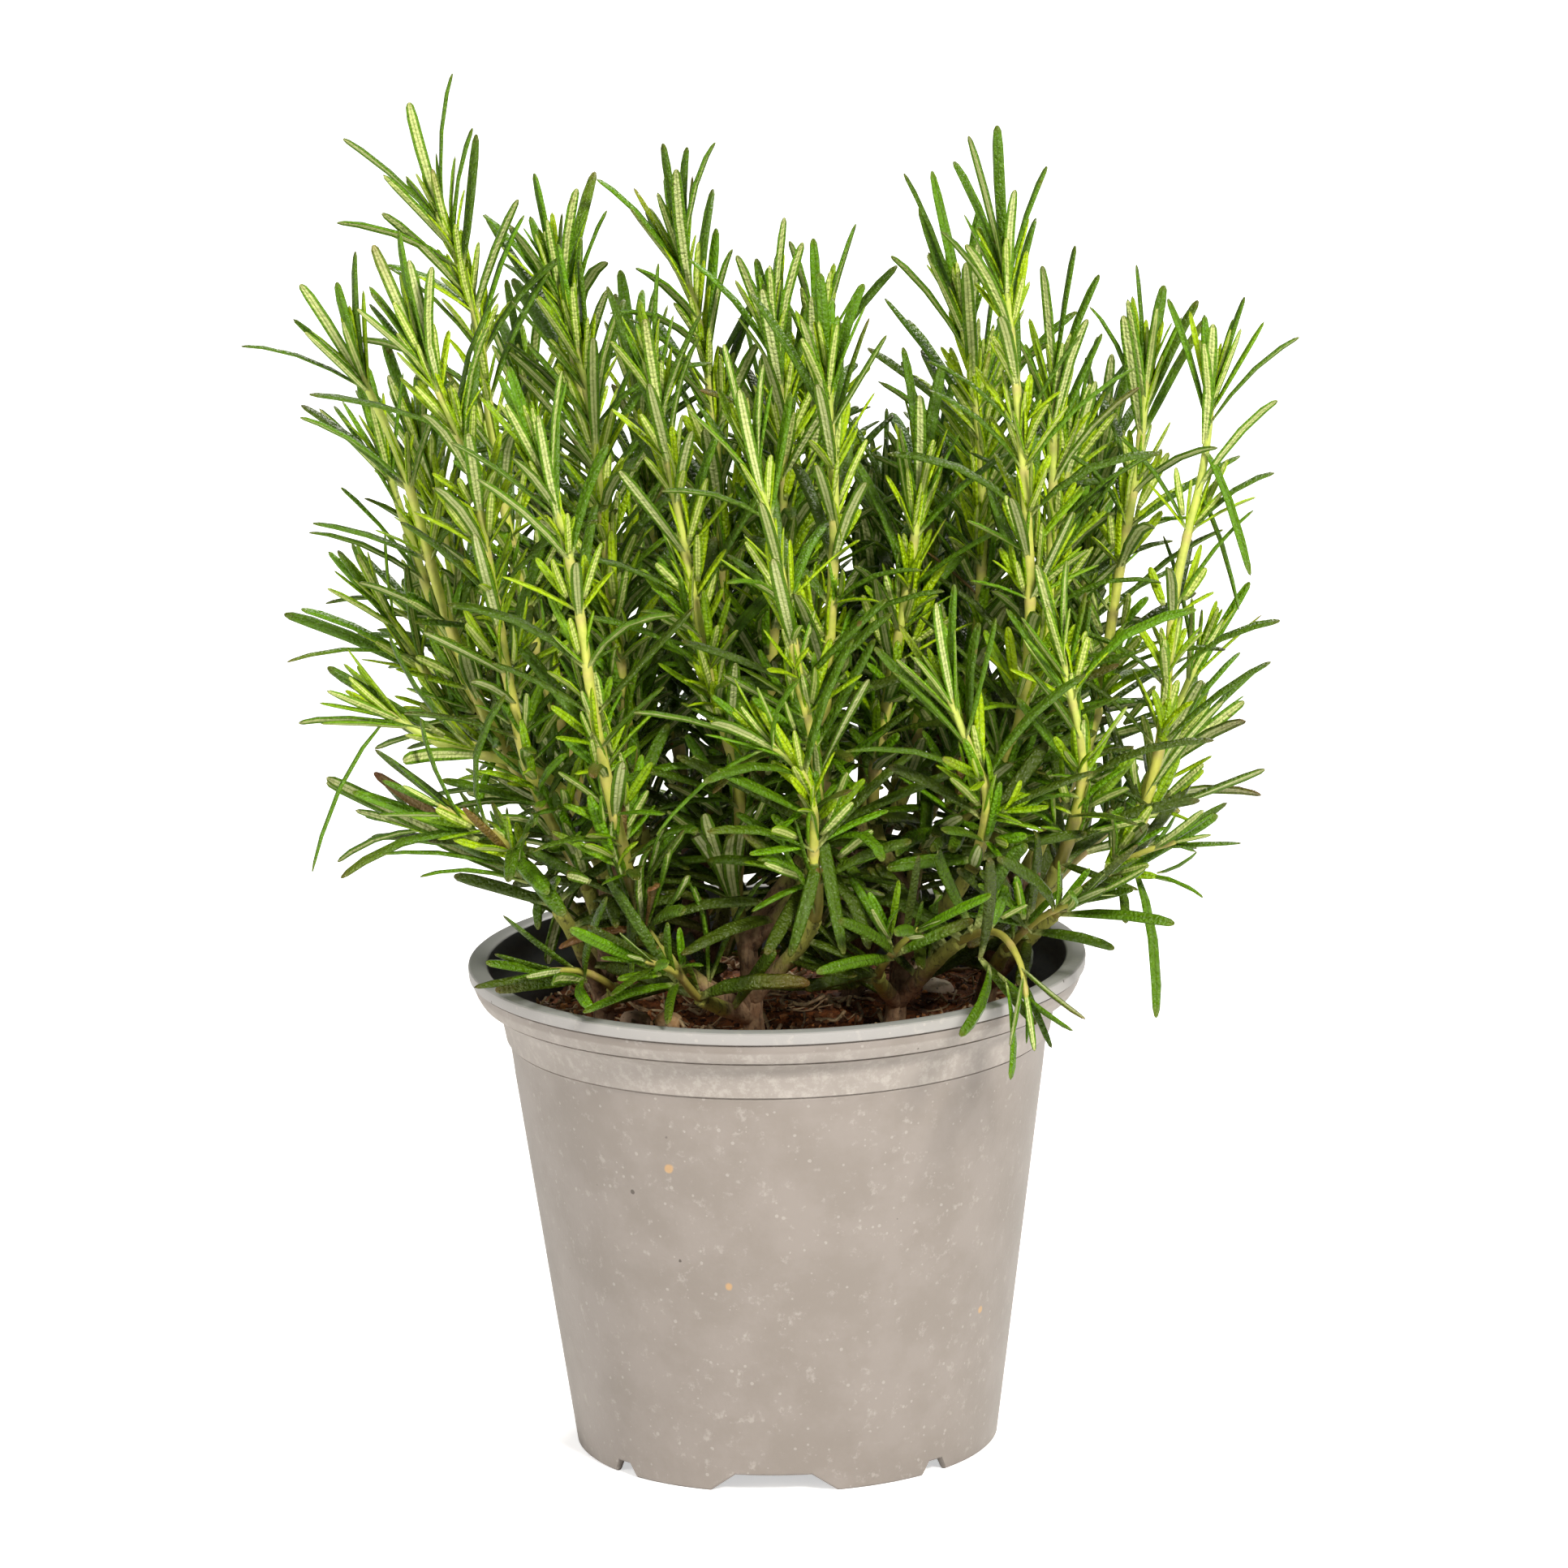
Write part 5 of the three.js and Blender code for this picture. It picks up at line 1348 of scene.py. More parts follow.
@dataclass
class Soil:
    """Peat with a crumbly top, crumbs and straw."""

    rings: int = 46
    sides: int = 150
    crumb_count: int = 2000
    crumb_sizes: Pair = (0.5, 1.7)
    straw_count: int = 360
    straw_lengths: Pair = (4.0, 15.0)
    reach: float = 55.8
    edge_height: float = 89.0
    # Radius and height of the part below the edge, from the bottom up
    below: tuple[Pair, ...] = ((43.6, 5.5 + SEAT_GAP), (48.9, 43.0), (54.0, 81.0))
    seed: int = 11

    def surface(self, x: np.ndarray, y: np.ndarray) -> np.ndarray:
        """The height of the crumbly top, with lumps a millimetre or two wide.

        Args:
            x: Places from left to right, in millimetres.
            y: Places from front to back.

        Returns:
            The heights.
        """
        lumps = np.sin(x * 1.7 + 2.1 * np.sin(y * 0.9)) * np.sin(y * 1.9 + 1.7 * np.sin(x * 1.1))
        fine = np.sin(x * 4.3 + y * 1.3) * np.sin(y * 3.9 - x * 2.2)
        return soil_height(x, y) + 0.38 * lumps + 0.16 * fine

    def build(self, material: Material) -> None:
        """Builds the body of soil, closed all round.

        Args:
            material: The peat.
        """
        turns = 2 * np.pi * np.arange(self.sides) / self.sides
        rows = []
        for radius, z in (*self.below, (self.reach, self.edge_height)):
            x, y = radius * np.cos(turns), radius * np.sin(turns)
            rows.append(np.column_stack([x, y, np.full(self.sides, z)]))
        for i in range(self.rings):
            radius = self.reach * (1 - i / self.rings)
            x, y = radius * np.cos(turns), radius * np.sin(turns)
            rows.append(np.column_stack([x, y, self.surface(x, y)]))
        middles = [[0, 0, self.below[0][1]], [0, 0, self.top_at(0, 0)]]
        batch = Batch()
        batch.add_rings(np.concatenate([*rows, middles]), len(rows), self.sides)
        place("soil_body", batch.mesh("soil_body"), "soil", material, ["soil"])

    def top_at(self, x: float, y: float) -> float:
        """The height of the crumbly top at one place."""
        return float(self.surface(np.array([x]), np.array([y]))[0])

    def spot(self, draws: random.Random) -> Pair:
        """A random place on the top, even over its area.

        Args:
            draws: The source of chance.

        Returns:
            Its x and y.
        """
        radius = (self.reach - 1.5) * math.sqrt(draws.random())
        angle = draws.uniform(0, 2 * math.pi)
        return radius * math.cos(angle), radius * math.sin(angle)

    def build_crumbs(self, material: Material) -> None:
        """Builds the loose crumbs that lie on the soil.

        Args:
            material: The crumbs' finish.
        """
        draws = random.Random(self.seed)
        batch = Batch()
        for _ in range(self.crumb_count):
            x, y = self.spot(draws)
            size = lerp(*self.crumb_sizes, draws.random() ** 2.5) / 2
            scales = np.array([draws.uniform(0.7, 1.5) for _ in range(3)])
            bumps = np.array([[draws.uniform(0.75, 1.2)] for _ in CRUMB_CORNERS])
            turn = np.array(Euler([draws.uniform(0, 6.28) for _ in range(3)]).to_matrix())
            points = (CRUMB_CORNERS * bumps * scales * size) @ turn.T
            tint = draws.random() ** 2
            points = points + (x, y, self.top_at(x, y) + 0.35 * size)
            batch.add(points, [], CRUMB_FACES, bit_tint=np.array([tint, 0, 0]))
        place("soil_crumbs", batch.mesh("soil_crumbs", smooth=False), "soil", material)

    def build_straw(self, material: Material) -> None:
        """Builds the bits of straw and fibre on the soil.

        Args:
            material: The straw's finish.
        """
        draws = random.Random(self.seed + 1)
        batch = Batch()
        for _ in range(self.straw_count):
            x, y = self.spot(draws)
            length = lerp(*self.straw_lengths, draws.random() ** 1.6)
            heading = draws.uniform(0, 2 * math.pi)
            bend = draws.uniform(-0.7, 0.7)
            radius = draws.uniform(0.18, 0.62)
            lift = draws.uniform(0.1, 2.4)
            points = []
            for i in range(4):
                share = i / 3 - 0.5
                angle = heading + bend * share
                px = x + length * share * math.cos(angle)
                py = y + length * share * math.sin(angle)
                out = math.hypot(px, py)
                if out > self.reach - 1:
                    px, py = (value * (self.reach - 1) / out for value in (px, py))
                points.append((px + 1e-3 * i, py, self.top_at(px, py) + radius + lift * (i == 3)))
            tint = draws.random()
            path = Path(points)
            add_tube(batch, path, 0.0, path.length, 5, path.length / 6,
                     lambda distance, angle, r=radius: r * (0.8 + 0.3 * math.cos(2 * angle)),
                     bit_tint=lambda distance, value=tint: (value, 0, 0))
        place("straw_bits", batch.mesh("straw_bits"), "soil", material)


@dataclass(frozen=True)
class Pebble:
    """A water-worn pebble that lies half in the soil."""

    node: str
    at: Point
    half: Point
    turn: float
    detail: int = 4
    dents: Pair = (0.09, 0.05)

    def build(self, material: Material) -> None:
        """Builds the pebble from a sphere of triangles pressed by waves.

        Args:
            material: The pebble's stone.
        """
        work = bmesh.new()
        bmesh.ops.create_icosphere(work, subdivisions=self.detail, radius=1.0)
        for vertex in work.verts:
            x, y, z = vertex.co
            wide = self.dents[0] * math.sin(3 * x + 2 * y + self.turn)
            narrow = self.dents[1] * math.sin(5 * y - 3 * z)
            fine = 0.012 * math.sin(17 * x + 3 * z) * math.sin(15 * y + 2 * x)
            size = 1 - wide - narrow - fine
            vertex.co = Vector((self.half[0] * x, self.half[1] * y, self.half[2] * z)) * size
        work.transform(Matrix.Rotation(self.turn, 4, "Z"))
        work.transform(Matrix.Translation(self.at))
        work.transform(Matrix.Scale(METRES, 4))
        mesh = bpy.data.meshes.new(f"{self.node}_stone")
        work.to_mesh(mesh)
        work.free()
        mesh.polygons.foreach_set("use_smooth", [True] * len(mesh.polygons))
        place(f"{self.node}_stone", mesh, "pebble", material, [self.node])


# Clearance between leaves and stems

class Clearance:
    """Everything already placed, kept as round bars."""

    def __init__(self) -> None:
        """Starts with no bars."""
        self.owners: list[str] = []
        self.rows: list[tuple] = []
        self.table = np.zeros((0, 11))
        self.numbers = np.zeros(0, int)
        self.names: dict[str, int] = {}

    def add(self, owner: str, start: np.ndarray, end: np.ndarray, radius: float) -> None:
        """Keeps a bar.

        Args:
            owner: The piece that it belongs to.
            start: One end.
            end: The other end.
            radius: Its radius.
        """
        middle = (start + end) / 2
        reach = np.linalg.norm(end - start) / 2 + radius
        self.rows.append((*start, *end, *middle, radius, reach))
        self.owners.append(owner)

    def _refresh(self) -> None:
        """Brings the tables up to date with what was added."""
        known = len(self.numbers)
        if known == len(self.rows):
            return
        fresh = np.array(self.rows[known:])
        numbers = [self.names.setdefault(owner, len(self.names)) for owner in self.owners[known:]]
        self.table = np.concatenate([self.table, fresh])
        self.numbers = np.concatenate([self.numbers, numbers])

    def is_clear(self, owner: str, start: np.ndarray, end: np.ndarray, radius: float, margin: float) -> bool:
        """Whether a bar keeps clear of every bar of other owners.

        Args:
            owner: The piece that the bar belongs to.
            start: One end.
            end: The other end.
            radius: Its radius.
            margin: The clearance that it needs.

        Returns:
            True if nothing is nearer.
        """
        self._refresh()
        number = self.names.get(owner, -1)
        middle = (start + end) / 2
        reach = np.linalg.norm(end - start) / 2 + radius + margin
        away = np.linalg.norm(self.table[:, 6:9] - middle, axis=1)
        near = self.table[(self.numbers != number) & (away <= self.table[:, 10] + reach)]
        if not len(near):
            return True
        gaps = self._gaps(start, end, near[:, 0:3], near[:, 3:6])
        return bool(np.all(gaps > near[:, 9] + radius + margin))

    @staticmethod
    def _gaps(a: np.ndarray, b: np.ndarray, c: np.ndarray, d: np.ndarray) -> np.ndarray:
        """The distances between one line from a to b and several from c to d.

        Args:
            a: The one line's start.
            b: Its end.
            c: Rows of starts.
            d: Rows of ends.

        Returns:
            The distances.
        """
        first_line, second_lines, between = b - a, d - c, a - c
        first = float(first_line @ first_line)
        second = np.sum(second_lines**2, axis=1)
        both = second_lines @ first_line
        to_first = between @ first_line
        to_second = np.sum(between * second_lines, axis=1)
        spread = first * second - both**2
        s = np.where(spread > 1e-9, (both * to_second - to_first * second) / np.maximum(spread, 1e-9), 0.0)
        s = np.clip(s, 0, 1)
        t = (both * s + to_second) / second
        beyond = (t < 0) | (t > 1)
        t = np.clip(t, 0, 1)
        s = np.where(beyond, np.clip((both * t - to_first) / first, 0, 1), s)
        gap = (a + s[:, None] * first_line) - (c + t[:, None] * second_lines)
        return np.linalg.norm(gap, axis=1)


POT_HEIGHTS_OUT = np.array([z for _, z in POT_OUTSIDE])
POT_RADII_OUT = np.array([radius for radius, _ in POT_OUTSIDE])
POT_HEIGHTS_IN = np.array([z for _, z in reversed(POT_INSIDE)])
POT_RADII_IN = np.array([radius for radius, _ in reversed(POT_INSIDE)])


def clears_pot(start: np.ndarray, end: np.ndarray, radius: float, clearance: float) -> bool:
    """Whether a round bar keeps clear of the pot and the soil.

    Args:
        start: One end of the bar.
        end: The other end.
        radius: Its radius.
        clearance: The clearance that it needs.

    Returns:
        True if it is clear.
    """
    margin = radius + clearance
    sideways = math.sqrt(2) * margin
    shares = np.linspace(0, 1, 25)[:, None]
    points = start + (end - start) * shares
    out = np.hypot(points[:, 0], points[:, 1])
    z = np.clip(points[:, 2], 1, POT_HEIGHT)
    inner = np.interp(np.maximum(z, 5.5), POT_HEIGHTS_IN, POT_RADII_IN)
    outer = np.interp(z, POT_HEIGHTS_OUT, POT_RADII_OUT)
    low = points[:, 2] <= POT_HEIGHT + margin
    in_wall = low & (out > inner - sideways) & (out < outer + sideways)
    in_soil = low & (out <= inner) & (points[:, 2] < SOIL_TOP + SOIL_BUMP + margin)
    return not bool(np.any(in_wall | in_soil))


# Leaves

@dataclass
class Leaf:
    """A leaf as an arc from its root to its tip, with its looks."""

    root: np.ndarray
    control: np.ndarray
    tip: np.ndarray
    along: np.ndarray
    width: float
    age: float = 0.6
    dry: float = 0.0
    tint: float = 0.5
    twist: float = 0.0
    small: bool = False

    def point(self, share: float) -> np.ndarray:
        """The point at a share of the arc."""
        rest = 1 - share
        return self.root * rest * rest + self.control * 2 * rest * share + self.tip * share * share


@dataclass(frozen=True)
class Blade:
    """The section and outline of a leaf, in half widths and shares of its length."""

    # Across and up from the middle of the leaf, round from the left edge over the top
    section: tuple[Pair, ...]
    # 1 where a point of the section belongs to the underside
    below: tuple[float, ...]
    # Shares of the length with the share of the width there, up to the tip
    outline: tuple[Pair, ...]

    def add(self, batch: Batch, leaves: Sequence[Leaf]) -> None:
        """Adds the leaves to a mesh.

        Args:
            batch: The mesh in the making.
            leaves: The leaves.
        """
        if not leaves:
            return
        root, control, tip, stem, width, twist = (np.array([getattr(leaf, key) for leaf in leaves]) for key in
                                                  ("root", "control", "tip", "along", "width", "twist"))
        state = np.array([(leaf.age, leaf.tint, leaf.dry) for leaf in leaves])
        sideways, upward = np.array(self.section).T[:, None, :, None]
        sides, stations = len(self.section), len(self.outline)
        points = np.zeros((len(leaves), stations * sides + 2, 3))
        where = np.zeros((stations * sides + 2, 3))
        for i, (share, wide) in enumerate(self.outline):
            rest = 1 - share
            middle = root * rest**2 + control * 2 * rest * share + tip * share**2
            heading = unit(2 * rest * (control - root) + 2 * share * (tip - control))
            flat = perpendicular(stem, heading)
            square = np.cross(heading, flat)
            turn = (twist * share)[:, None]
            face = flat * np.cos(turn) + square * np.sin(turn)
            across = square * np.cos(turn) - flat * np.sin(turn)
            half = (width * wide / 2)[:, None, None]
            ring = sideways * across[:, None] + upward * face[:, None]
            station = slice(i * sides, (i + 1) * sides)
            points[:, station] = middle[:, None] + ring * half
            where[station] = [(x, share, low) for (x, _), low in zip(self.section, self.below)]
        points[:, -2] = root
        points[:, -1] = tip
        where[-1] = (0, 1, 0)
        count = points.shape[1]
        offsets = (np.arange(len(leaves)) * count)[:, None, None]
        batch.add(points.reshape(-1, 3),
                  (ring_quads(stations, sides) + offsets).reshape(-1, 4),
                  (end_fans(stations, sides) + offsets).reshape(-1, 3),
                  leaf_place=np.tile(where, (len(leaves), 1)),
                  leaf_state=np.repeat(state, count, axis=0))


FULL_BLADE = Blade(
    section=((-1, 0), (-0.56, 0.36), (0, 0.18), (0.56, 0.36), (1, 0), (0.86, -0.27), (0.5, -0.06), (0, -0.18),
             (-0.5, -0.06), (-0.86, -0.27)),
    below=(0, 0, 0, 0, 0, 1, 1, 1, 1, 1),
    outline=((0, 0.46), (0.1, 0.66), (0.28, 0.96), (0.55, 1.04), (0.82, 0.96), (0.95, 0.7), (0.99, 0.34)),
)
SMALL_BLADE = Blade(
    section=((-1, 0), (-0.55, 0.36), (0, 0.22), (0.55, 0.36), (1, 0), (0.8, -0.26), (0, -0.14),
             (-0.8, -0.26)),
    below=(0, 0, 0, 0, 0, 1, 1, 1),
    outline=((0, 0.46), (0.18, 0.85), (0.5, 1.0), (0.82, 0.86), (0.96, 0.5)),
)


@dataclass
class Stem:
    """A leafy stem, or a side shoot of one, while its leaves are placed."""

    owner: str
    path: Path
    start: float
    tips: tuple[Point, ...]
    draw: Callable[[], float]
    cutting: Cutting | None = None
    leaves: list[Leaf] = field(default_factory=list)
    rings: list[float] = field(default_factory=list)

    @property
    def length(self) -> float:
        """The leafy length, from the stem's start to its growing tip."""
        return self.path.length - self.start

    @property
    def is_low(self) -> bool:
        """Whether it stays low over the soil, where leaves are old and stems thin."""
        return float(self.path.points[-1][2]) < LOW

    def frame(self, distance: float, step: float) -> Frame:
        """The frame at a distance from the stem's start, on the axis of its plain tube.

        Args:
            distance: Millimetres from the start of the stem.
            step: The length of the tube's straight pieces.

        Returns:
            The frame there.
        """
        at = self.start + distance
        count = max(1, math.floor(self.length / step + 0.5))
        stops = [lerp(self.start, self.path.length, i / count) for i in range(count + 1)]
        i = max([j for j in range(count) if stops[j] <= at], default=0)
        share = (at - stops[i]) / (stops[i + 1] - stops[i])
        base = self.path.at(at)
        point = lerp(self.path.at(stops[i]).point, self.path.at(stops[i + 1]).point, share)
        return Frame(point, base.along, base.side, base.across)


@dataclass(frozen=True)
class Tries:
    """What is varied until a leaf is clear: shares of its length, then turns and leans in degrees."""

    lengths: tuple[float, ...]
    turns: tuple[float, ...]
    leans: tuple[float, ...]


@dataclass
class Growth:
    """The rule by which stems and leaves grow. The first part repeats the frame's own leaves."""

    stem_radius: float = 1.65
    tube_step: float = 26.0
    arm_radius: float = 2.0
    trunk_radius: float = 2.7
    arm_drop: float = 9.0
    arm_slope: float = 0.6
    lowest_fork: float = SOIL_TOP + 6
    pair_spacing: float = 28.0
    pair_start: float = 9.0
    pair_end: float = 7.0
    pair_shift: float = 0.35
    pair_twist: float = 0.3
    tuft_leaves: int = 3
    tuft_turn: float = 2.4
    first_seed: int = 101
    seed_step: int = 7
    leaf_length: float = 28.0
    shortest_share: float = 0.84
    length_spread: float = 0.28
    leaf_width: float = 2.5
    width_shares: Pair = (1.12, 0.94)
    lean: Pair = (66.0, 26.0)
    lean_spread: float = 10.0
    bend: Pair = (6.0, 20.0)
    bend_spread: float = 24.0
    frame_tries: Tries = Tries((1, 0.84, 0.7), (0, 12, -12, 24, -24), (0, 12, -12))
    # Slide of the root up the stem and bow to the side
    try_roots: tuple[Pair, ...] = (
        (0, 0), (0, 2.5), (0, -2.5), (-4, 0), (4, 0), (-4, 4), (-4, -4), (5, 4), (5, -4), (-8, 0))
    leaf_clearance: float = 0.45
    bar_length: float = 8.0
    reach_low: Point = (-104, -82, 96)
    reach_high: Point = (107, 82, 288)
    # What is grown besides the frame's leaves. A range holds the ends of a draw; other pairs of values run
    # from the foot of a stem to its tip. Leans and bends are in degrees, other ranges are shares of a leaf.
    pair_tries: Tries = Tries((1, 0.8, 0.6), (0, 20, -20, 40), (0, -14))
    pair_lean: Pair = (54.0, 22.0)
    pair_lean_range: Pair = (-12.0, 12.0)
    pair_bend_range: Pair = (-4.0, 62.0)
    high_start: float = 0.85
    high_bend_range: Pair = (-6.0, 34.0)
    pair_length_range: Pair = (0.8, 1.22)
    pair_width: Pair = (1.22, 1.04)
    pair_width_range: Pair = (0.9, 1.12)
    low_tries: Tries = Tries((1, 0.8, 0.62), (0, 25, -25, 50), (0, -20))
    low_lean_range: Pair = (40.0, 92.0)
    low_bend_range: Pair = (-10.0, 70.0)
    low_length_range: Pair = (0.55, 1.0)
    broad_range: Pair = (1.1, 1.4)
    node_spacing: Pair = (6.8, 11.0)
    open_spacing: float = 2.0
    inner_spacing: Pair = (6.0, 6.2)
    inner_depth: float = 6.0
    inner_reach: float = 75.0
    open_stems: tuple[str, ...] = (
        "leafy_stem_right_outer", "leafy_stem_left_outer", "leafy_stem_left_drooping")
    loose_clearance: float = -0.8
    wall_clearance: float = 0.12
    shoot_share: Pair = (0.95, 0.8)
    shoot_lean: Pair = (46.0, 7.0)
    low_shoot: Pair = (6.0, 15.0)
    high_shoot: Pair = (1.5, 5.0)
    shoot_leaf: Pair = (10.0, 20.0)
    shoot_width: Pair = (2.5, 1.75)
    crown_leaves: int = 11
    # How many leaves fewer the crown of a low sprig has
    low_crown_lack: int = 6
    # From the outermost leaf of a crown to the innermost, in millimetres but for the lean
    crown_drop: Pair = (7.0, 0.5)
    crown_lean: Pair = (24.0, 6.0)
    crown_length: Pair = (24.0, 11.0)
    crown_width: Pair = (2.3, 1.3)
    arm_leaf_step: float = 2.2
    extra_bow: float = 4.0
    # A leaf to a listed tip: its control point's share of the way, and its rise as a share of the chord
    tip_middle: float = 0.42
    tip_rise: float = 0.14
    # Chances that a leaf is dead and that its end is dry, low down and higher up, and how dry an end is
    dead_chances: Pair = (0.022, 0.001)
    dry_chances: Pair = (0.07, 0.03)
    dry_range: Pair = (0.2, 0.6)
    # Leaves rooted below this height are older by this much
    old_height: float = 132.0
    old_by: float = 0.18
    age_spread: float = 0.14
    twist_spread: float = 0.6
    low_ages: Pair = (0.6, 1.0)
    low_steps: Pair = (0.8, 1.2)
    # Ages at the foot and at the tip of a crown, and how much older a low sprig's crown is
    crown_age: Pair = (0.32, 0.05)
    low_crown_by: float = 0.34
    shoot_age: Pair = (0.55, 0.04)
    # Leaves that reach a drawn tip
    reach_lengths: Pair = (19.0, 31.0)
    reach_sway: float = 12.0
    reach_ages: Pair = (0.45, 0.8)
    # What is left of a leaf of the frame that would hang over the soil
    shortened: float = 0.72
    low_height: float = 126.0
    low_reach: float = 57.0
    # Leaves end above this line of sight over the front of the rim, so that the soil shows
    soil_view: float = 98.0
    view_slope: float = 0.239
    trunk_leaf_step: float = 2.8
    # The box before the trunks and arms that tips of broad old leaves fill
    front_count: int = 380
    front_spots: tuple[float, ...] = (0.4, 0.6, 0.8, 1.0, 1.2, 1.5)
    front_low: Point = (-56, -52, 98)
    front_high: Point = (56, -32, 146)
    # Boxes behind the middle that tips of grown leaves fill, each with its count
    back_boxes: tuple[tuple[int, Point, Point], ...] = (
        (600, (-60, 14, 128), (68, 58, 212)), (90, (6, 0, 168), (28, 50, 206)))
    back_spots: tuple[float, ...] = (0.15, 0.3, 0.45, 0.6, 0.75, 0.9)
    seed: int = 2024
    clearance: Clearance = field(default_factory=Clearance)
    stems: list[Stem] = field(default_factory=list)

    def fork(self, cutting: Cutting, start: np.ndarray) -> np.ndarray:
        """Where an arm leaves its trunk: lower down the further out its stem starts.

        Args:
            cutting: The trunk's cutting.
            start: Where the stem starts.

        Returns:
            The point of the fork.
        """
        top = cutting.top
        out = math.hypot(start[0] - top[0], start[1] - top[1])
        z = start[2] - self.arm_drop - self.arm_slope * out
        return cutting.on_trunk(min(max(z, self.lowest_fork), top[2] - 1))

    def lay_stems(self) -> None:
        """Lays the stems and side shoots along their routes."""
        for i, entry in enumerate(STEM_ROUTES):
            draw = draws_from(self.first_seed + self.seed_step * i)
            fork = self.fork(entry.cutting, np.array(entry.route[0], float))
            path = Path([fork, *entry.route])
            start = path.first_span + SEAT_GAP
            self.stems.append(Stem(entry.node, path, start, entry.tips, draw, entry.cutting))
            for branch in entry.branches:
                root = path.at(start + branch.start).point
                side = Path([root, *branch.route])
                self.stems.append(Stem(entry.node, side, 0.0, branch.tips, draw))

    def _tube_bars(self, owner: str, path: Path, start: float, end: float, radius: float) -> None:
        """Keeps a tube along part of a path as bars.

        Args:
            owner: The piece that the tube belongs to.
            path: The path.
            start: Where on it the tube starts.
            end: Where it ends.
            radius: Its radius.
        """
        count = math.ceil((end - start) / self.bar_length)
        for i in range(count):
            a, b = (path.at(lerp(start, end, j / count)).point for j in (i, i + 1))
            self.clearance.add(owner, a, b, radius)

    def keep_wood(self, root_depth: float) -> None:
        """Keeps the trunks, the arms and the stems as bars.

        Args:
            root_depth: How deep the trunks stand in the soil.
        """
        for cutting in Cutting:
            trunk = Path([cutting.on_trunk(SOIL_TOP - root_depth), cutting.on_trunk(SOIL_TOP), cutting.top])
            self._tube_bars(cutting.node, trunk, 0, trunk.length, self.trunk_radius)
            for stem in self.stems:
                if stem.cutting is cutting:
                    end = stem.path.first_span
                    ends = stem.path.at(0).point, stem.path.at(end).point
                    self.clearance.add(cutting.node, *ends, self.arm_radius)
        for stem in self.stems:
            self._tube_bars(stem.owner, stem.path, stem.start, stem.path.length, self.stem_radius)

    def is_clear(self, owner: str, leaf: Leaf, margin: float) -> bool:
        """Whether a leaf keeps clear of other stems, the pot and the soil.

        Args:
            owner: The node that the leaf belongs to.
            leaf: The leaf.
            margin: The clearance that it needs.

        Returns:
            True if nothing is nearer.
        """
        start, middle = leaf.point(0.12), leaf.point(0.5)
        radius = leaf.width / 2
        for a, b in ((start, middle), (middle, leaf.tip)):
            if not self.clearance.is_clear(owner, a, b, radius, margin):
                return False
            if not clears_pot(a, b, radius, max(margin, self.wall_clearance)):
                return False
        return True

    def keep(self, stem: Stem, leaf: Leaf) -> None:
        """Adds a leaf to its stem and keeps it as two bars.

        Args:
            stem: The stem.
            leaf: The leaf.
        """
        stem.leaves.append(leaf)
        middle = leaf.point(0.5)
        self.clearance.add(stem.owner, leaf.root, middle, leaf.width / 2)
        self.clearance.add(stem.owner, middle, leaf.tip, leaf.width / 2)

    def first_clear(self, stem: Stem, tries: Iterable[Leaf], margin: float) -> Leaf | None:
        """Keeps the first of several tries that is clear and returns it, or None.

        Args:
            stem: The stem.
            tries: The variants of the leaf.
            margin: The clearance that it needs.

        Returns:
            The leaf that was kept, or None.
        """
        for leaf in tries:
            if self.is_clear(stem.owner, leaf, margin):
                self.keep(stem, leaf)
                return leaf
        return None

    def by_angles(self, at: Frame, turn: float, lean: float, bend: float, length: float,
                  width: float) -> Leaf:
        """A leaf by its turn about the stem, its lean away from it and its bend.

        Args:
            at: The frame where the leaf leaves the stem.
            turn: The turn about the stem, in radians.
            lean: The angle between the stem and the leaf's start, in radians.
            bend: How far the leaf turns from its root to its tip, in radians.
            length: Its length.
            width: Its width.

        Returns:
            The leaf.
        """
        outward = at.outward(turn)

        def heading(angle: float) -> np.ndarray:
            """The direction at an angle from the stem."""
            return at.along * math.cos(angle) + outward * math.sin(angle)

        control = at.point + heading(lean) * (length / 2 / math.cos(bend / 2))
        return Leaf(at.point, control, at.point + heading(lean + bend / 2) * length, at.along, width)

    def variants(self, tries: Tries, at: Frame, turn: float, lean: float, bend: float, length: float,
                 width: float) -> Iterator[Leaf]:
        """A leaf in every variant that is tried, the wanted one first.

        Args:
            tries: What is varied.
            at: The frame where the leaf leaves the stem.
            turn: The wanted turn about the stem, in radians.
            lean: The wanted lean in degrees.
            bend: Its bend in radians.
            length: The wanted length.
            width: Its width.

        Yields:
            The variants.
        """
        for share, aside, extra in itertools.product(tries.lengths, tries.turns, tries.leans):
            yield self.by_angles(at, turn + math.radians(aside), math.radians(lean + extra), bend,
                                 length * share, width)

    def to_tip(self, stem: Stem, tip: np.ndarray, slide: float, bow: float) -> Leaf:
        """A leaf from the stem to a given tip, rooted a leaf's length away from it.

        Args:
            stem: The stem.
            tip: The tip.
            slide: How far the root is moved up the stem.
            bow: How far the leaf bows to the side.

        Returns:
            The leaf.
        """
        best, best_miss = self.pair_start, math.inf
        at = self.pair_start
        while at < stem.length - 1:
            miss = abs(np.linalg.norm(stem.frame(at, self.tube_step).point - tip) - self.leaf_length)
            if miss <= best_miss:
                best, best_miss = at, miss
            at += 1
        far = min(best + slide, stem.length - 1)
        start = stem.frame(max(far, self.pair_start / 2), self.tube_step)
        chord = tip - start.point
        rise = start.along * (self.tip_rise * np.linalg.norm(chord))
        control = start.point + chord * self.tip_middle + rise
        control = control + unit(np.cross(start.along, chord)) * bow
        return Leaf(start.point, control, tip, start.along, self.leaf_width)

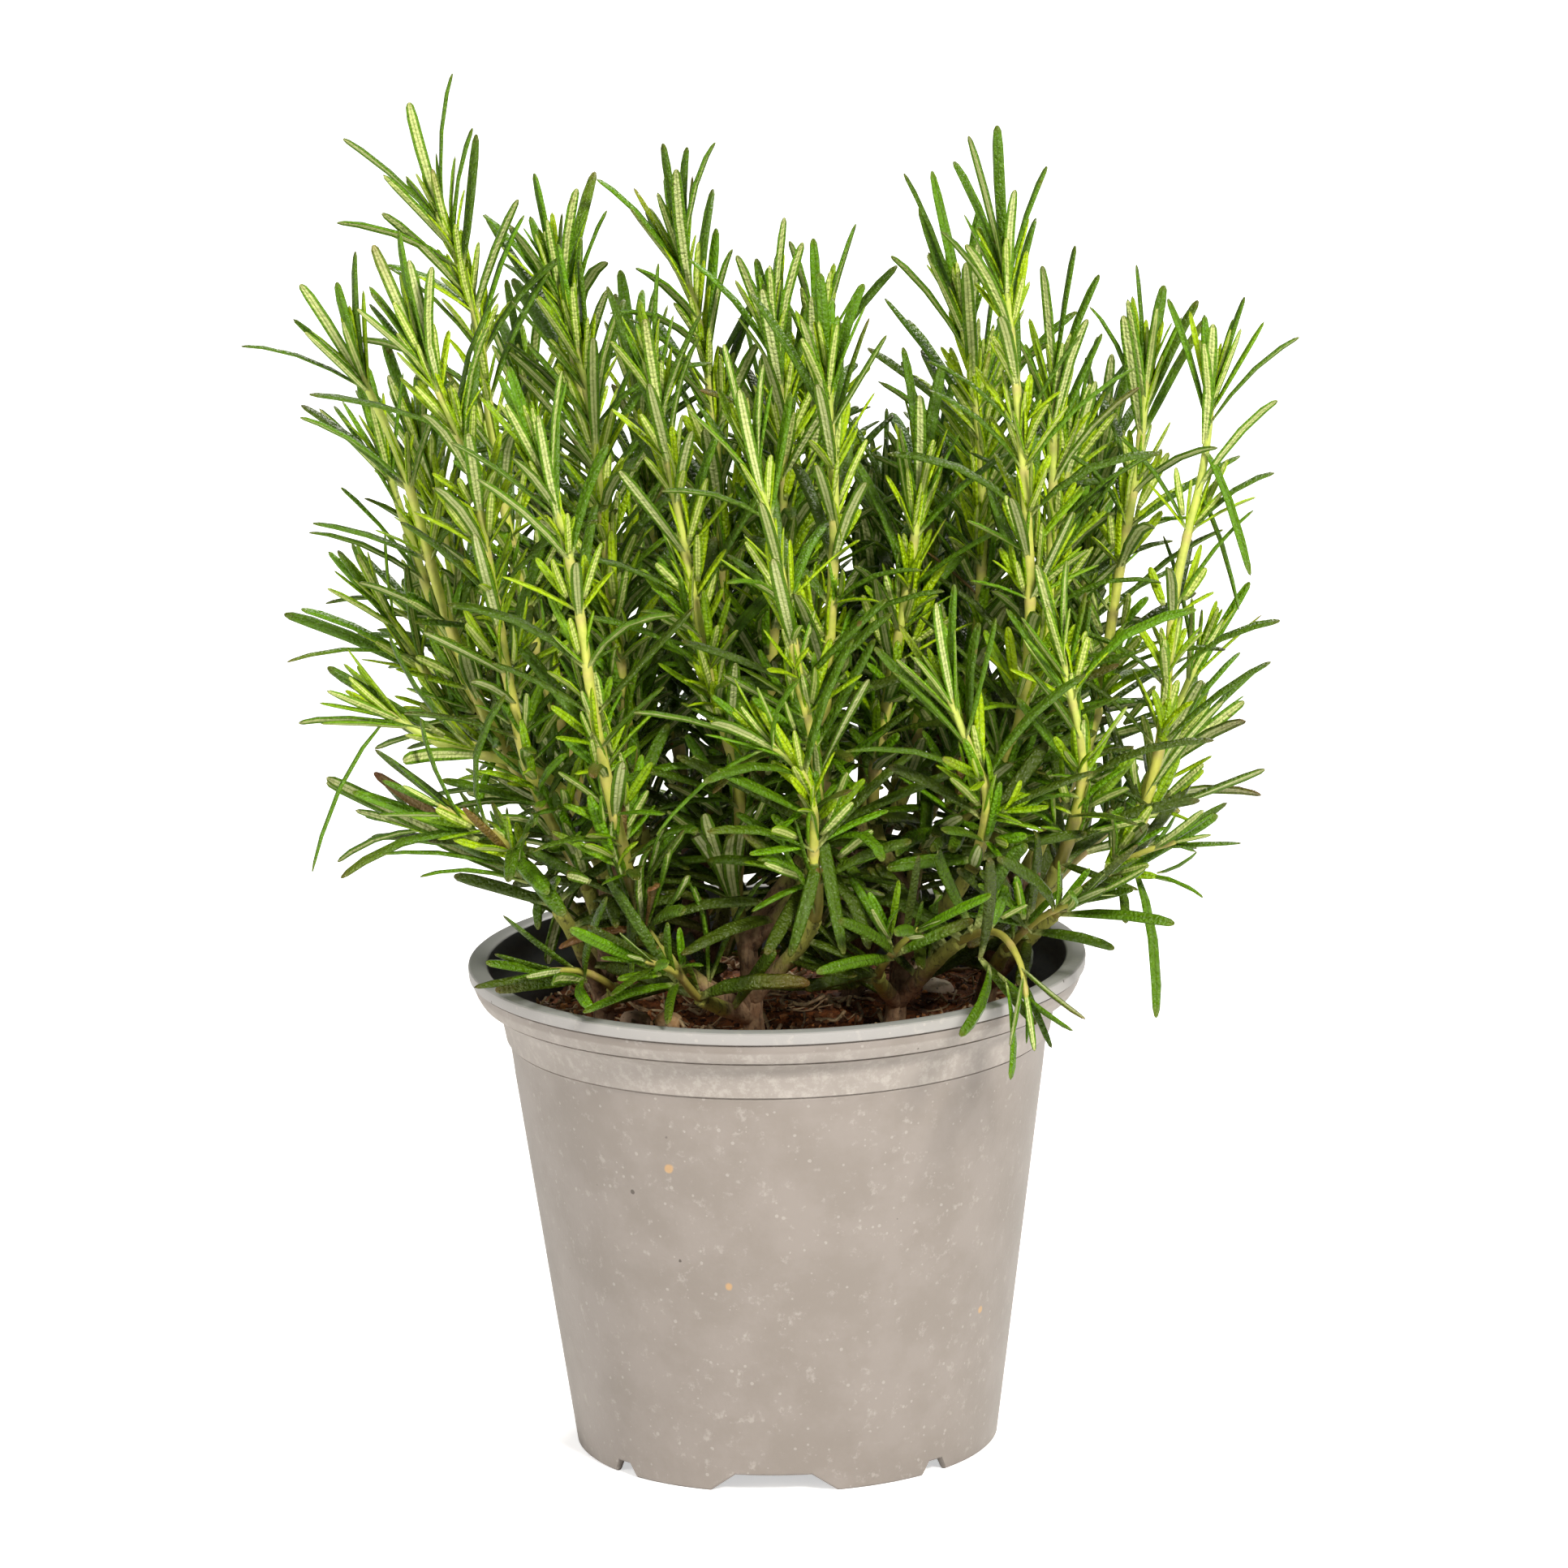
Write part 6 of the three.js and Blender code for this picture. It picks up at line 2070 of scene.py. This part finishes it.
    def place_tips(self, stem: Stem) -> None:
        """Places the leaves whose tips are listed.

        Args:
            stem: The stem.
        """
        for tip in stem.tips:
            tries = (self.to_tip(stem, np.array(tip, float), slide, bow) for slide, bow in self.try_roots)
            leaf = self.first_clear(stem, tries, self.leaf_clearance)
            if leaf:
                leaf.age = 0.5

    def within_reach(self, leaf: Leaf) -> bool:
        """Whether a leaf's tip lies in the box that unlisted tips keep to."""
        return bool(np.all(leaf.tip >= self.reach_low) and np.all(leaf.tip <= self.reach_high))

    def is_tidy(self, leaf: Leaf) -> bool:
        """Whether a leaf is within reach and, low down, stays over the soil.

        Args:
            leaf: The leaf.

        Returns:
            True if it is.
        """
        over_soil = math.hypot(leaf.tip[0], leaf.tip[1]) < self.low_reach
        seen_height = leaf.tip[2] + self.view_slope * leaf.tip[1]
        over_view = seen_height > self.soil_view + 2 * math.sin(leaf.tip[0] * 0.7)
        return self.within_reach(leaf) and over_view and (leaf.tip[2] > self.low_height or over_soil)

    def at_turn(self, stem: Stem, at: float, turn: float) -> None:
        """Places one of the frame's leaves.

        Args:
            stem: The leaf's stem.
            at: How far up the stem it stands.
            turn: Its turn about the stem, in radians.
        """
        draw = stem.draw
        start = stem.frame(at, self.tube_step)
        height = at / stem.length
        lean = lerp(*self.lean, height) + self.lean_spread * (draw() - 0.5)
        bend = math.radians(lerp(*self.bend, height) + self.bend_spread * (draw() - 0.5))
        length = self.leaf_length * (self.shortest_share + self.length_spread * draw())
        width = lerp(*self.width_shares, height) * self.leaf_width
        tries = self.variants(self.frame_tries, start, turn, lean, bend, length, width)
        leaf = self.first_clear(stem, filter(self.within_reach, tries), self.leaf_clearance)
        if leaf:
            leaf.age = lerp(0.95, 0.5, height)

    def place_pairs(self, stem: Stem) -> None:
        """Places the frame's crossed pairs and the leaves at the growing tip.

        Args:
            stem: The stem.
        """
        usable = stem.length - self.pair_start - self.pair_end
        count = max(1, math.floor(usable / self.pair_spacing + 0.5))
        first = stem.draw() * math.pi
        for i in range(count):
            at = self.pair_start + usable * (i + self.pair_shift * stem.draw()) / count
            turn = first + i * math.pi / 2 + self.pair_twist * (stem.draw() - 0.5)
            self.at_turn(stem, at, turn)
            self.at_turn(stem, at, turn + math.pi)
            stem.rings.append(at)
        for i in range(len(stem.tips), self.tuft_leaves):
            self.at_turn(stem, stem.length - self.pair_end / 2, first + self.tuft_turn * i)

    def grow(self, root_depth: float) -> list[Stem]:
        """Grows the whole plant.

        Args:
            root_depth: How deep the trunks stand in the soil.

        Returns:
            The stems with their leaves.
        """
        self.lay_stems()
        self.keep_wood(root_depth)
        for stem in self.stems:
            self.place_tips(stem)
        for stem in self.stems:
            self.place_pairs(stem)
        LOG.info("leaves of the frame: %d", sum(len(stem.leaves) for stem in self.stems))
        for number, stem in enumerate(self.stems):
            self.fill(stem, random.Random(self.seed + number))
        for number, cutting in enumerate(Cutting):
            self.trunk_leaves(cutting, random.Random(self.seed - 1 - number))
        self.front_leaves(random.Random(self.seed - 30))
        self.back_leaves(random.Random(self.seed - 31))
        LOG.info("leaves in all: %d", sum(len(stem.leaves) for stem in self.stems))
        return self.stems

    def fill(self, stem: Stem, draws: random.Random) -> None:
        """Adds a stem's nodes between the frame's pairs, its axil shoots, its crown and its low leaves.

        Args:
            stem: The stem.
            draws: The source of chance.
        """
        self.vary(stem, draws)
        spots = sorted([1.5, *stem.rings, stem.length - 2])
        for low, high in zip(spots, spots[1:]):
            extra = round((high - low) / self.spacing(stem, (low + high) / 2 / stem.length)) - 1
            for j in range(extra):
                at = lerp(low, high, (j + 1) / (extra + 1)) + draws.uniform(-1, 1)
                self.extra_pair(stem, at, draws)
                stem.rings.append(at)
        for at in sorted(stem.rings):
            turn = draws.uniform(0, math.pi)
            for side in (0, math.pi):
                if draws.random() < lerp(*self.shoot_share, at / stem.length):
                    self.axil_shoot(stem, at, turn + side, draws)
        self.crown(stem, draws)
        if stem.cutting is not None:
            self.arm_leaves(stem, draws)

    def spacing(self, stem: Stem, height: float) -> float:
        """How far apart the nodes of a stem stand at a share of its length.

        Args:
            stem: The stem.
            height: The share.

        Returns:
            The distance in millimetres.
        """
        x, y, _ = stem.path.points[-1]
        if stem.owner in self.open_stems:
            return self.open_spacing * lerp(*self.node_spacing, height)
        if y > self.inner_depth and abs(x) < self.inner_reach:
            return lerp(*self.inner_spacing, height)
        return lerp(*self.node_spacing, height)

    def vary(self, stem: Stem, draws: random.Random) -> None:
        """Gives the frame's leaves of a stem their own tint, twist and dryness.

        Args:
            stem: The stem.
            draws: The source of chance.
        """
        for leaf in stem.leaves:
            leaf.tint = draws.random()
            leaf.age = min(1.0, max(0.0, leaf.age + draws.uniform(-0.12, 0.12)))
            leaf.twist = draws.uniform(-0.5, 0.5)
            leaf.control = leaf.control + leaf.along * draws.uniform(0, self.extra_bow)
            if not any(np.allclose(leaf.tip, tip) for tip in stem.tips) and not self.is_tidy(leaf):
                leaf.tip = lerp(leaf.root, leaf.tip, self.shortened)
                leaf.control = lerp(leaf.root, leaf.control, self.shortened)
            leaf.dry = 0.4 * draws.random() if draws.random() < 0.08 else 0.0

    def dryness(self, leaf: Leaf, draws: random.Random) -> float:
        """How dry a leaf is: mostly not at all, more often low down.

        Args:
            leaf: The leaf.
            draws: The source of chance.

        Returns:
            A share from 0 to 1.
        """
        level = 0 if leaf.tip[2] < LOW else 1
        if draws.random() < self.dead_chances[level]:
            return 1.0
        return draws.uniform(*self.dry_range) if draws.random() < self.dry_chances[level] else 0.0

    def extra_pair(self, stem: Stem, at: float, draws: random.Random) -> None:
        """Adds a pair of full leaves besides the frame's.

        Args:
            stem: The leaves' stem.
            at: How far up the stem they stand.
            draws: The source of chance.
        """
        turn = draws.uniform(0, math.pi)
        start = stem.path.at(stem.start + at)
        height = at / stem.length
        for side in (0, math.pi):
            lean = lerp(*self.pair_lean, height) + draws.uniform(*self.pair_lean_range)
            bends = self.pair_bend_range if height < self.high_start else self.high_bend_range
            bend = math.radians(draws.uniform(*bends))
            length = self.leaf_length * draws.uniform(*self.pair_length_range)
            width = self.leaf_width * lerp(*self.pair_width, height) * draws.uniform(*self.pair_width_range)
            tries = self.variants(self.pair_tries, start, turn + side, lean, bend, length, width)
            leaf = self.first_clear(stem, filter(self.is_tidy, tries), self.loose_clearance)
            if leaf:
                self.dress(leaf, lerp(0.85, 0.5, height), draws)

    def dress(self, leaf: Leaf, age: float, draws: random.Random) -> None:
        """Gives a leaf its age with some spread, a tint, a twist and its dryness.

        Args:
            leaf: The leaf.
            age: Its age from 0 to 1.
            draws: The source of chance.
        """
        older = self.old_by if leaf.root[2] < self.old_height else 0.0
        leaf.age = min(1.0, max(0.0, age + older + draws.uniform(-self.age_spread, self.age_spread)))
        leaf.tint = draws.random()
        leaf.twist = draws.uniform(-self.twist_spread, self.twist_spread)
        leaf.dry = self.dryness(leaf, draws)

    def axil_shoot(self, stem: Stem, at: float, turn: float, draws: random.Random) -> None:
        """Adds the short shoot in a leaf's axil: a few small leaves in crossed pairs.

        Args:
            stem: The stem.
            at: How far up the stem the shoot stands.
            turn: Its turn about the stem.
            draws: The source of chance.
        """
        height = at / stem.length
        base = stem.path.at(stem.start + at)
        lean = math.radians(lerp(*self.shoot_lean, height) + draws.uniform(-9, 9))
        outward = base.outward(turn)
        along = unit(base.along * math.cos(lean) + outward * math.sin(lean))
        side = perpendicular(outward, along)
        length = lerp(draws.uniform(*self.low_shoot), draws.uniform(*self.high_shoot), height)
        pairs = draws.choice((2, 3) if height < 0.5 else (1, 2, 2, 3))
        age = lerp(*self.shoot_age, min(1.0, height * 1.5)) + draws.uniform(-self.age_spread, self.age_spread)
        for pair in range(pairs):
            share = (pair + 0.5) / pairs
            point = base.point + along * (length * share)
            at_pair = Frame(point, along, side, np.cross(along, side))
            for half in (0, math.pi):
                spread = math.radians(lerp(lerp(50, 12, height), 8, share) + draws.uniform(-7, 7))
                size = lerp(*self.shoot_leaf, draws.random()) * lerp(1.0, 0.72, share)
                bend = math.radians(draws.uniform(-6, lerp(44, 16, height)))
                twist = pair * math.pi / 2 + half + draws.uniform(-0.4, 0.4)
                width = lerp(*self.shoot_width, height) * draws.uniform(0.82, 1.1)
                leaf = self.by_angles(at_pair, twist, spread, bend, size, width)
                self.keep_small(stem, leaf, age - 0.12 * share, draws)

    def keep_small(self, stem: Stem, leaf: Leaf, age: float, draws: random.Random,
                   crown: bool = False) -> None:
        """Keeps a small leaf where it is clear of other stems, within reach and above the pot.

        Args:
            stem: The stem.
            leaf: The leaf.
            age: Its age from 0 to 1.
            draws: The source of chance.
            crown: Whether it belongs to a crown.
        """
        placed = self.within_reach(leaf) if crown else self.is_tidy(leaf)
        if not placed or not self.is_clear(stem.owner, leaf, self.loose_clearance):
            return
        leaf.small = True
        stem.leaves.append(leaf)
        self.dress(leaf, age, draws)

    def crown(self, stem: Stem, draws: random.Random) -> None:
        """Adds the young upright leaves round the growing tip.

        Args:
            stem: The stem.
            draws: The source of chance.
        """
        count = self.crown_leaves - (self.low_crown_lack if stem.is_low else 0)
        older = self.low_crown_by if stem.is_low else 0.0
        for i in range(count):
            share = i / (count - 1)
            start = stem.path.at(stem.path.length - lerp(*self.crown_drop, share))
            turn = i * self.tuft_turn + draws.uniform(-0.3, 0.3)
            lean = math.radians(lerp(*self.crown_lean, share) + draws.uniform(-4, 4))
            length = lerp(*self.crown_length, share) * draws.uniform(0.8, 1.1)
            bend = math.radians(draws.uniform(0, 14))
            leaf = self.by_angles(start, turn, lean, bend, length, lerp(*self.crown_width, share))
            self.keep_small(stem, leaf, older + lerp(*self.crown_age, share), draws, crown=True)
        stem.rings.append(stem.length - 1.5)

    def trunk_leaves(self, cutting: Cutting, draws: random.Random) -> None:
        """Adds the old leaves round a trunk, from just over the soil to its top, to one of its stems.

        Args:
            cutting: The trunk's cutting.
            draws: The source of chance.
        """
        trunk = Path([cutting.on_trunk(SOIL_TOP), cutting.top])
        stem = next(one for one in self.stems if one.cutting is cutting)
        self.low_leaves(stem, trunk, 6.0, trunk.length, self.trunk_leaf_step, draws)

    def front_leaves(self, draws: random.Random) -> None:
        """Adds broad old leaves before the trunks and arms, each from wood a leaf's length behind its tip.

        Args:
            draws: The source of chance.
        """
        spots = [(stem, stem.path.at(stem.start * share)) for stem in self.stems if stem.cutting is not None
                 for share in self.front_spots]
        for _ in range(self.front_count):
            tip = np.array([draws.uniform(low, high) for low, high in zip(self.front_low, self.front_high)])
            bow = np.array([draws.uniform(-5, 5), -2.5, draws.uniform(2, 10)])
            self.reaching(spots, tip, bow, self.leaf_width * draws.uniform(*self.broad_range), draws)

    def back_leaves(self, draws: random.Random) -> None:
        """Adds grown leaves to the stems behind the middle, which close the view through the plant.

        Args:
            draws: The source of chance.
        """
        spots = [(stem, stem.path.at(lerp(stem.start, stem.path.length, share))) for stem in self.stems
                 if stem.path.points[-1][1] > 0 for share in self.back_spots]
        for count, low, high in self.back_boxes:
            for _ in range(count):
                tip = np.array([draws.uniform(a, b) for a, b in zip(low, high)])
                bow = np.array([draws.uniform(-4, 4), draws.uniform(-4, 4), draws.uniform(0, 4)])
                self.reaching(spots, tip, bow, self.leaf_width * draws.uniform(0.95, 1.2), draws)

    def reaching(self, spots: list[tuple[Stem, Frame]], tip: np.ndarray, bow: np.ndarray, width: float,
                 draws: random.Random) -> None:
        """Adds a leaf that ends in a given tip, from the spot that lies best, if it is clear.

        Args:
            spots: Stems with frames on them or on their arms.
            tip: The leaf's tip.
            bow: How far its middle is moved from the straight line.
            width: Its width.
            draws: The source of chance.
        """
        length = draws.uniform(*self.reach_lengths)

        def miss(one: tuple[Stem, Frame]) -> float:
            """How badly a spot suits the leaf, by its distance and how far it lies to the side."""
            away = one[1].point - tip
            sideways = abs(away[0] + draws.uniform(-self.reach_sway, self.reach_sway))
            return abs(np.linalg.norm(away) - length) + sideways / 2

        stem, spot = min(spots, key=miss)
        leaf = Leaf(spot.point, lerp(spot.point, tip, 0.5) + bow, tip, spot.along, width)
        if self.is_tidy(leaf) and self.is_clear(stem.owner, leaf, self.loose_clearance):
            self.keep(stem, leaf)
            self.dress(leaf, draws.uniform(*self.reach_ages), draws)

    def arm_leaves(self, stem: Stem, draws: random.Random) -> None:
        """Adds the spread and drooping leaves low down, on the arm that carries the stem."""
        step = self.arm_leaf_step
        self.low_leaves(stem, stem.path, step, stem.path.first_span + 2, step, draws)

    def low_leaves(self, stem: Stem, path: Path, at: float, end: float, step: float,
                   draws: random.Random) -> None:
        """Adds spread and drooping pairs along wood.

        Args:
            stem: The stem that the leaves are counted to.
            path: The wood's path.
            at: Where on it the first pair stands.
            end: Where the pairs end.
            step: About how far apart they stand.
            draws: The source of chance.
        """
        while at < end:
            start = path.at(at)
            turn = draws.uniform(0, math.pi)
            for side in (0, math.pi):
                lean = draws.uniform(*self.low_lean_range)
                bend = math.radians(draws.uniform(*self.low_bend_range))
                length = self.leaf_length * draws.uniform(*self.low_length_range)
                width = self.leaf_width * draws.uniform(*self.broad_range)
                tries = self.variants(self.low_tries, start, turn + side, lean, bend, length, width)
                leaf = self.first_clear(stem, filter(self.is_tidy, tries), self.loose_clearance)
                if leaf:
                    self.dress(leaf, draws.uniform(*self.low_ages), draws)
            at += step * draws.uniform(*self.low_steps)


# Wood and stems

@dataclass
class Woodwork:
    """The trunks, the arms and the green stems as fine tubes."""

    root_depth: float = 28.0
    trunk_radii: Pair = (2.7, 2.1)
    arm_radii: Pair = (1.95, 1.45)
    stem_radii: Pair = (1.3, 0.75)
    stem_sides: int = 12
    ring_swell: float = 0.16
    ring_width: float = 1.1
    flute: float = 0.06
    low_share: float = 0.72

    def cutting_piece(self, cutting: Cutting, stems: Sequence[Stem], material: Material) -> None:
        """Builds a trunk with its arms.

        Args:
            cutting: The cutting.
            stems: All stems of the plant.
            material: The bark.
        """
        batch = Batch()
        trunk = Path([cutting.on_trunk(SOIL_TOP - self.root_depth), cutting.on_trunk(SOIL_TOP), cutting.top])

        def knobbly(distance: float, angle: float) -> float:
            """The trunk's radius."""
            share = distance / trunk.length
            wave = 0.07 * math.sin(3 * angle + distance * 0.35) + 0.06 * math.sin(distance * 0.9 + angle)
            return lerp(*self.trunk_radii, share) * (0.94 + wave)

        add_tube(batch, trunk, 0, trunk.length, 14, 1.2, knobbly,
                 bark_place=lambda distance: (0.3 * distance / trunk.length, 0, 0))
        for stem in stems:
            if stem.cutting is cutting:
                self._add_arm(batch, stem)
        name = f"{cutting.node}_bark"
        place(name, batch.mesh(name), "bark", material, [cutting.node])

    def _add_arm(self, batch: Batch, stem: Stem) -> None:
        """Adds the arm that carries a stem.

        Args:
            batch: The mesh in the making.
            stem: The stem.
        """
        end = stem.path.first_span

        def swollen(distance: float, angle: float) -> float:
            """The arm's radius, swollen where the stem starts."""
            near = math.exp(-((distance - end) / 1.6) ** 2)
            plain = lerp(*self.arm_radii, distance / end)
            return plain * (1 + 0.04 * math.sin(3 * angle + distance) + 0.12 * near)

        add_tube(batch, stem.path, 0, end, 10, 1.5, swollen,
                 bark_place=lambda distance: (0.25 + 0.75 * distance / end, 0, 0))

    def leafy_piece(self, node: str, stems: Sequence[Stem], skin: Material,
                    leaf: Material) -> None:
        """Builds a leafy stem with its side shoots and all its leaves.

        Args:
            node: The frame's node.
            stems: The stem and its side shoots.
            skin: The stem's material.
            leaf: The leaves' material.
        """
        blades, tubes = Batch(), Batch()
        for stem in stems:
            FULL_BLADE.add(blades, [one for one in stem.leaves if not one.small])
            SMALL_BLADE.add(blades, [one for one in stem.leaves if one.small])
            self._add_stem(tubes, stem)
        place(f"{node}_leaves", blades.mesh(f"{node}_leaves"), "leaf", leaf, [node])
        place(f"{node}_wood", tubes.mesh(f"{node}_wood"), "leaf", skin)

    def _add_stem(self, batch: Batch, stem: Stem) -> None:
        """Adds a green stem with its rings and its four soft ridges.

        Args:
            batch: The mesh in the making.
            stem: The stem.
        """
        rings = np.array(stem.rings)
        start = stem.start if stem.cutting is None else stem.start - 1.0
        tint = (len(stem.leaves) % 7) / 7
        thin = self.low_share if stem.is_low else 1.0

        def near_ring(distance: float) -> float:
            """How near a ring is, up to 1."""
            return float(np.exp(-((rings + stem.start - distance) / self.ring_width) ** 2).max())

        def radius(distance: float, angle: float) -> float:
            """The stem's radius with its ridges and rings."""
            share = (distance - stem.start) / stem.length
            plain = lerp(*self.stem_radii, max(share, 0.0))
            relief = 1 + self.flute * math.cos(4 * angle) + self.ring_swell * near_ring(distance)
            return thin * plain * relief

        def values(distance: float) -> Colour:
            """What stem_place holds."""
            share = max(0.0, (distance - stem.start) / stem.length)
            return share * (0.2 if stem.is_low else 1.0), near_ring(distance), tint

        add_tube(batch, stem.path, start, stem.path.length, self.stem_sides, 2.0, radius, stem_place=values)


# The studio

@dataclass
class Studio:
    """A pale floor, soft lights and the camera at the photograph's place."""

    elevation: float = 13.45
    distance: float = 2.3
    target: Point = (0.00232, 0.0, 0.14148)
    roll: float = 1.28
    lens: float = 251.9
    sensor: float = 36.0
    floor_half: float = 6.0
    light_colour: Colour = (1.0, 0.96, 0.9)

    def camera(self) -> None:
        """Makes the camera."""
        data = bpy.data.cameras.new("studio_camera")
        data.lens, data.sensor_width = self.lens, self.sensor
        camera = new_object("studio_camera", data)
        rise = math.radians(self.elevation)
        back = Vector((0, -math.cos(rise), math.sin(rise)))
        camera.location = Vector(self.target) + back * self.distance
        aim = (-back).to_track_quat("-Z", "Y").to_matrix()
        camera.rotation_euler = (aim @ Matrix.Rotation(math.radians(-self.roll), 3, "Z")).to_euler()
        bpy.context.scene.camera = camera

    def floor(self) -> None:
        """Makes the wide pale floor, which the camera sees as plain white paper."""
        mesh = bpy.data.meshes.new("studio_floor")
        size = self.floor_half
        corners = [(-size, -size, 0), (size, -size, 0), (size, size, 0), (-size, size, 0)]
        mesh.from_pydata(corners, [], [(0, 1, 2, 3)])
        floor = new_object("studio_floor", mesh)
        paper = Coat("studio_paper")
        shade = paper.step(paper.noise(paper.where, 3.0), 0.3, 0.7)
        seen = paper.node("ShaderNodeLightPath").outputs["Is Camera Ray"]
        paper.set_inputs(Base_Color=paper.mix(shade, (0.88, 0.88, 0.88), (0.9, 0.9, 0.9)), Roughness=0.9,
                         Emission_Color=paper.mix(seen, (0, 0, 0), (1, 1, 1)), Emission_Strength=0.55)
        mesh.materials.append(paper.material)
        floor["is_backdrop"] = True

    def light(self, name: str, spot: Point, size: float, power: float) -> None:
        """Adds a soft square light that faces the plant.

        Args:
            name: The light's name.
            spot: Its place in metres.
            size: Its side in metres.
            power: Its power in watts.
        """
        data = bpy.data.lights.new(name, "AREA")
        data.shape, data.size, data.energy = "SQUARE", size, power
        data.color = self.light_colour
        lamp = new_object(name, data)
        lamp.location = spot
        lamp.rotation_euler = (Vector(self.target) - Vector(spot)).to_track_quat("-Z", "Y").to_euler()

    def build(self) -> None:
        """Makes the floor, the lights and the white surroundings."""
        self.floor()
        self.light("key_light", (0.8, -1.6, 1.5), 0.45, 62.0)
        self.light("fill_light", (-1.7, -1.0, 0.9), 0.9, 20.0)
        self.light("back_light", (0.5, 1.5, 1.6), 0.9, 32.0)
        world = bpy.data.worlds.new("studio_white")
        world.use_nodes = True
        background = world.node_tree.nodes["Background"]
        background.inputs["Color"].default_value = (1, 1, 1, 1)
        background.inputs["Strength"].default_value = 0.25
        bpy.context.scene.world = world
        bpy.context.scene.view_settings.view_transform = "Standard"


def main() -> None:
    """Builds the plant piece by piece."""
    logging.basicConfig(level=logging.INFO, format="%(name)s: %(message)s")
    studio = Studio()
    studio.camera()
    studio.build()
    effects = Effects()
    Pot().build(PotPlastic().make(effects))
    soil = Soil()
    soil.build(Peat().make(effects))
    soil.build_crumbs(TintedBits("crumbs", linear(78, 44, 23), linear(222, 150, 90)).make(effects))
    soil.build_straw(TintedBits("straw", linear(128, 90, 58), linear(234, 206, 160), 0.65).make(effects))
    pebbles = (
        (Pebble("pebble_tan", (-23, -5.5, 91.8), (2.9, 2.6, 2.4), 0.4),
         PebbleStone("tan_stone", linear(238, 200, 150), linear(214, 164, 108))),
        (Pebble("pebble_brown", (-30, -3, 91.6), (3.2, 2.7, 2.2), 0.1),
         PebbleStone("brown_stone", linear(196, 166, 138), linear(160, 130, 104))),
        (Pebble("pebble_pink", (34, 18, 91.8), (3.4, 2.8, 2.4), 2.4),
         PebbleStone("pink_stone", linear(246, 230, 212), linear(226, 204, 182))),
    )
    for pebble, stone in pebbles:
        pebble.build(stone.make(effects))
    woodwork = Woodwork()
    stems = Growth().grow(woodwork.root_depth)
    bark, skin, leaf = Bark().make(effects), StemSkin().make(effects), LeafSkin().make(effects)
    for cutting in Cutting:
        woodwork.cutting_piece(cutting, stems, bark)
    for entry in STEM_ROUTES:
        own = [stem for stem in stems if stem.owner == entry.node]
        woodwork.leafy_piece(entry.node, own, skin, leaf)
    boxes = {name: [list(corner) for corner in box]
             for name, box in (("cad", CAD_BOX), ("visual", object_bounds()))}


if __name__ == "__main__":
    main()
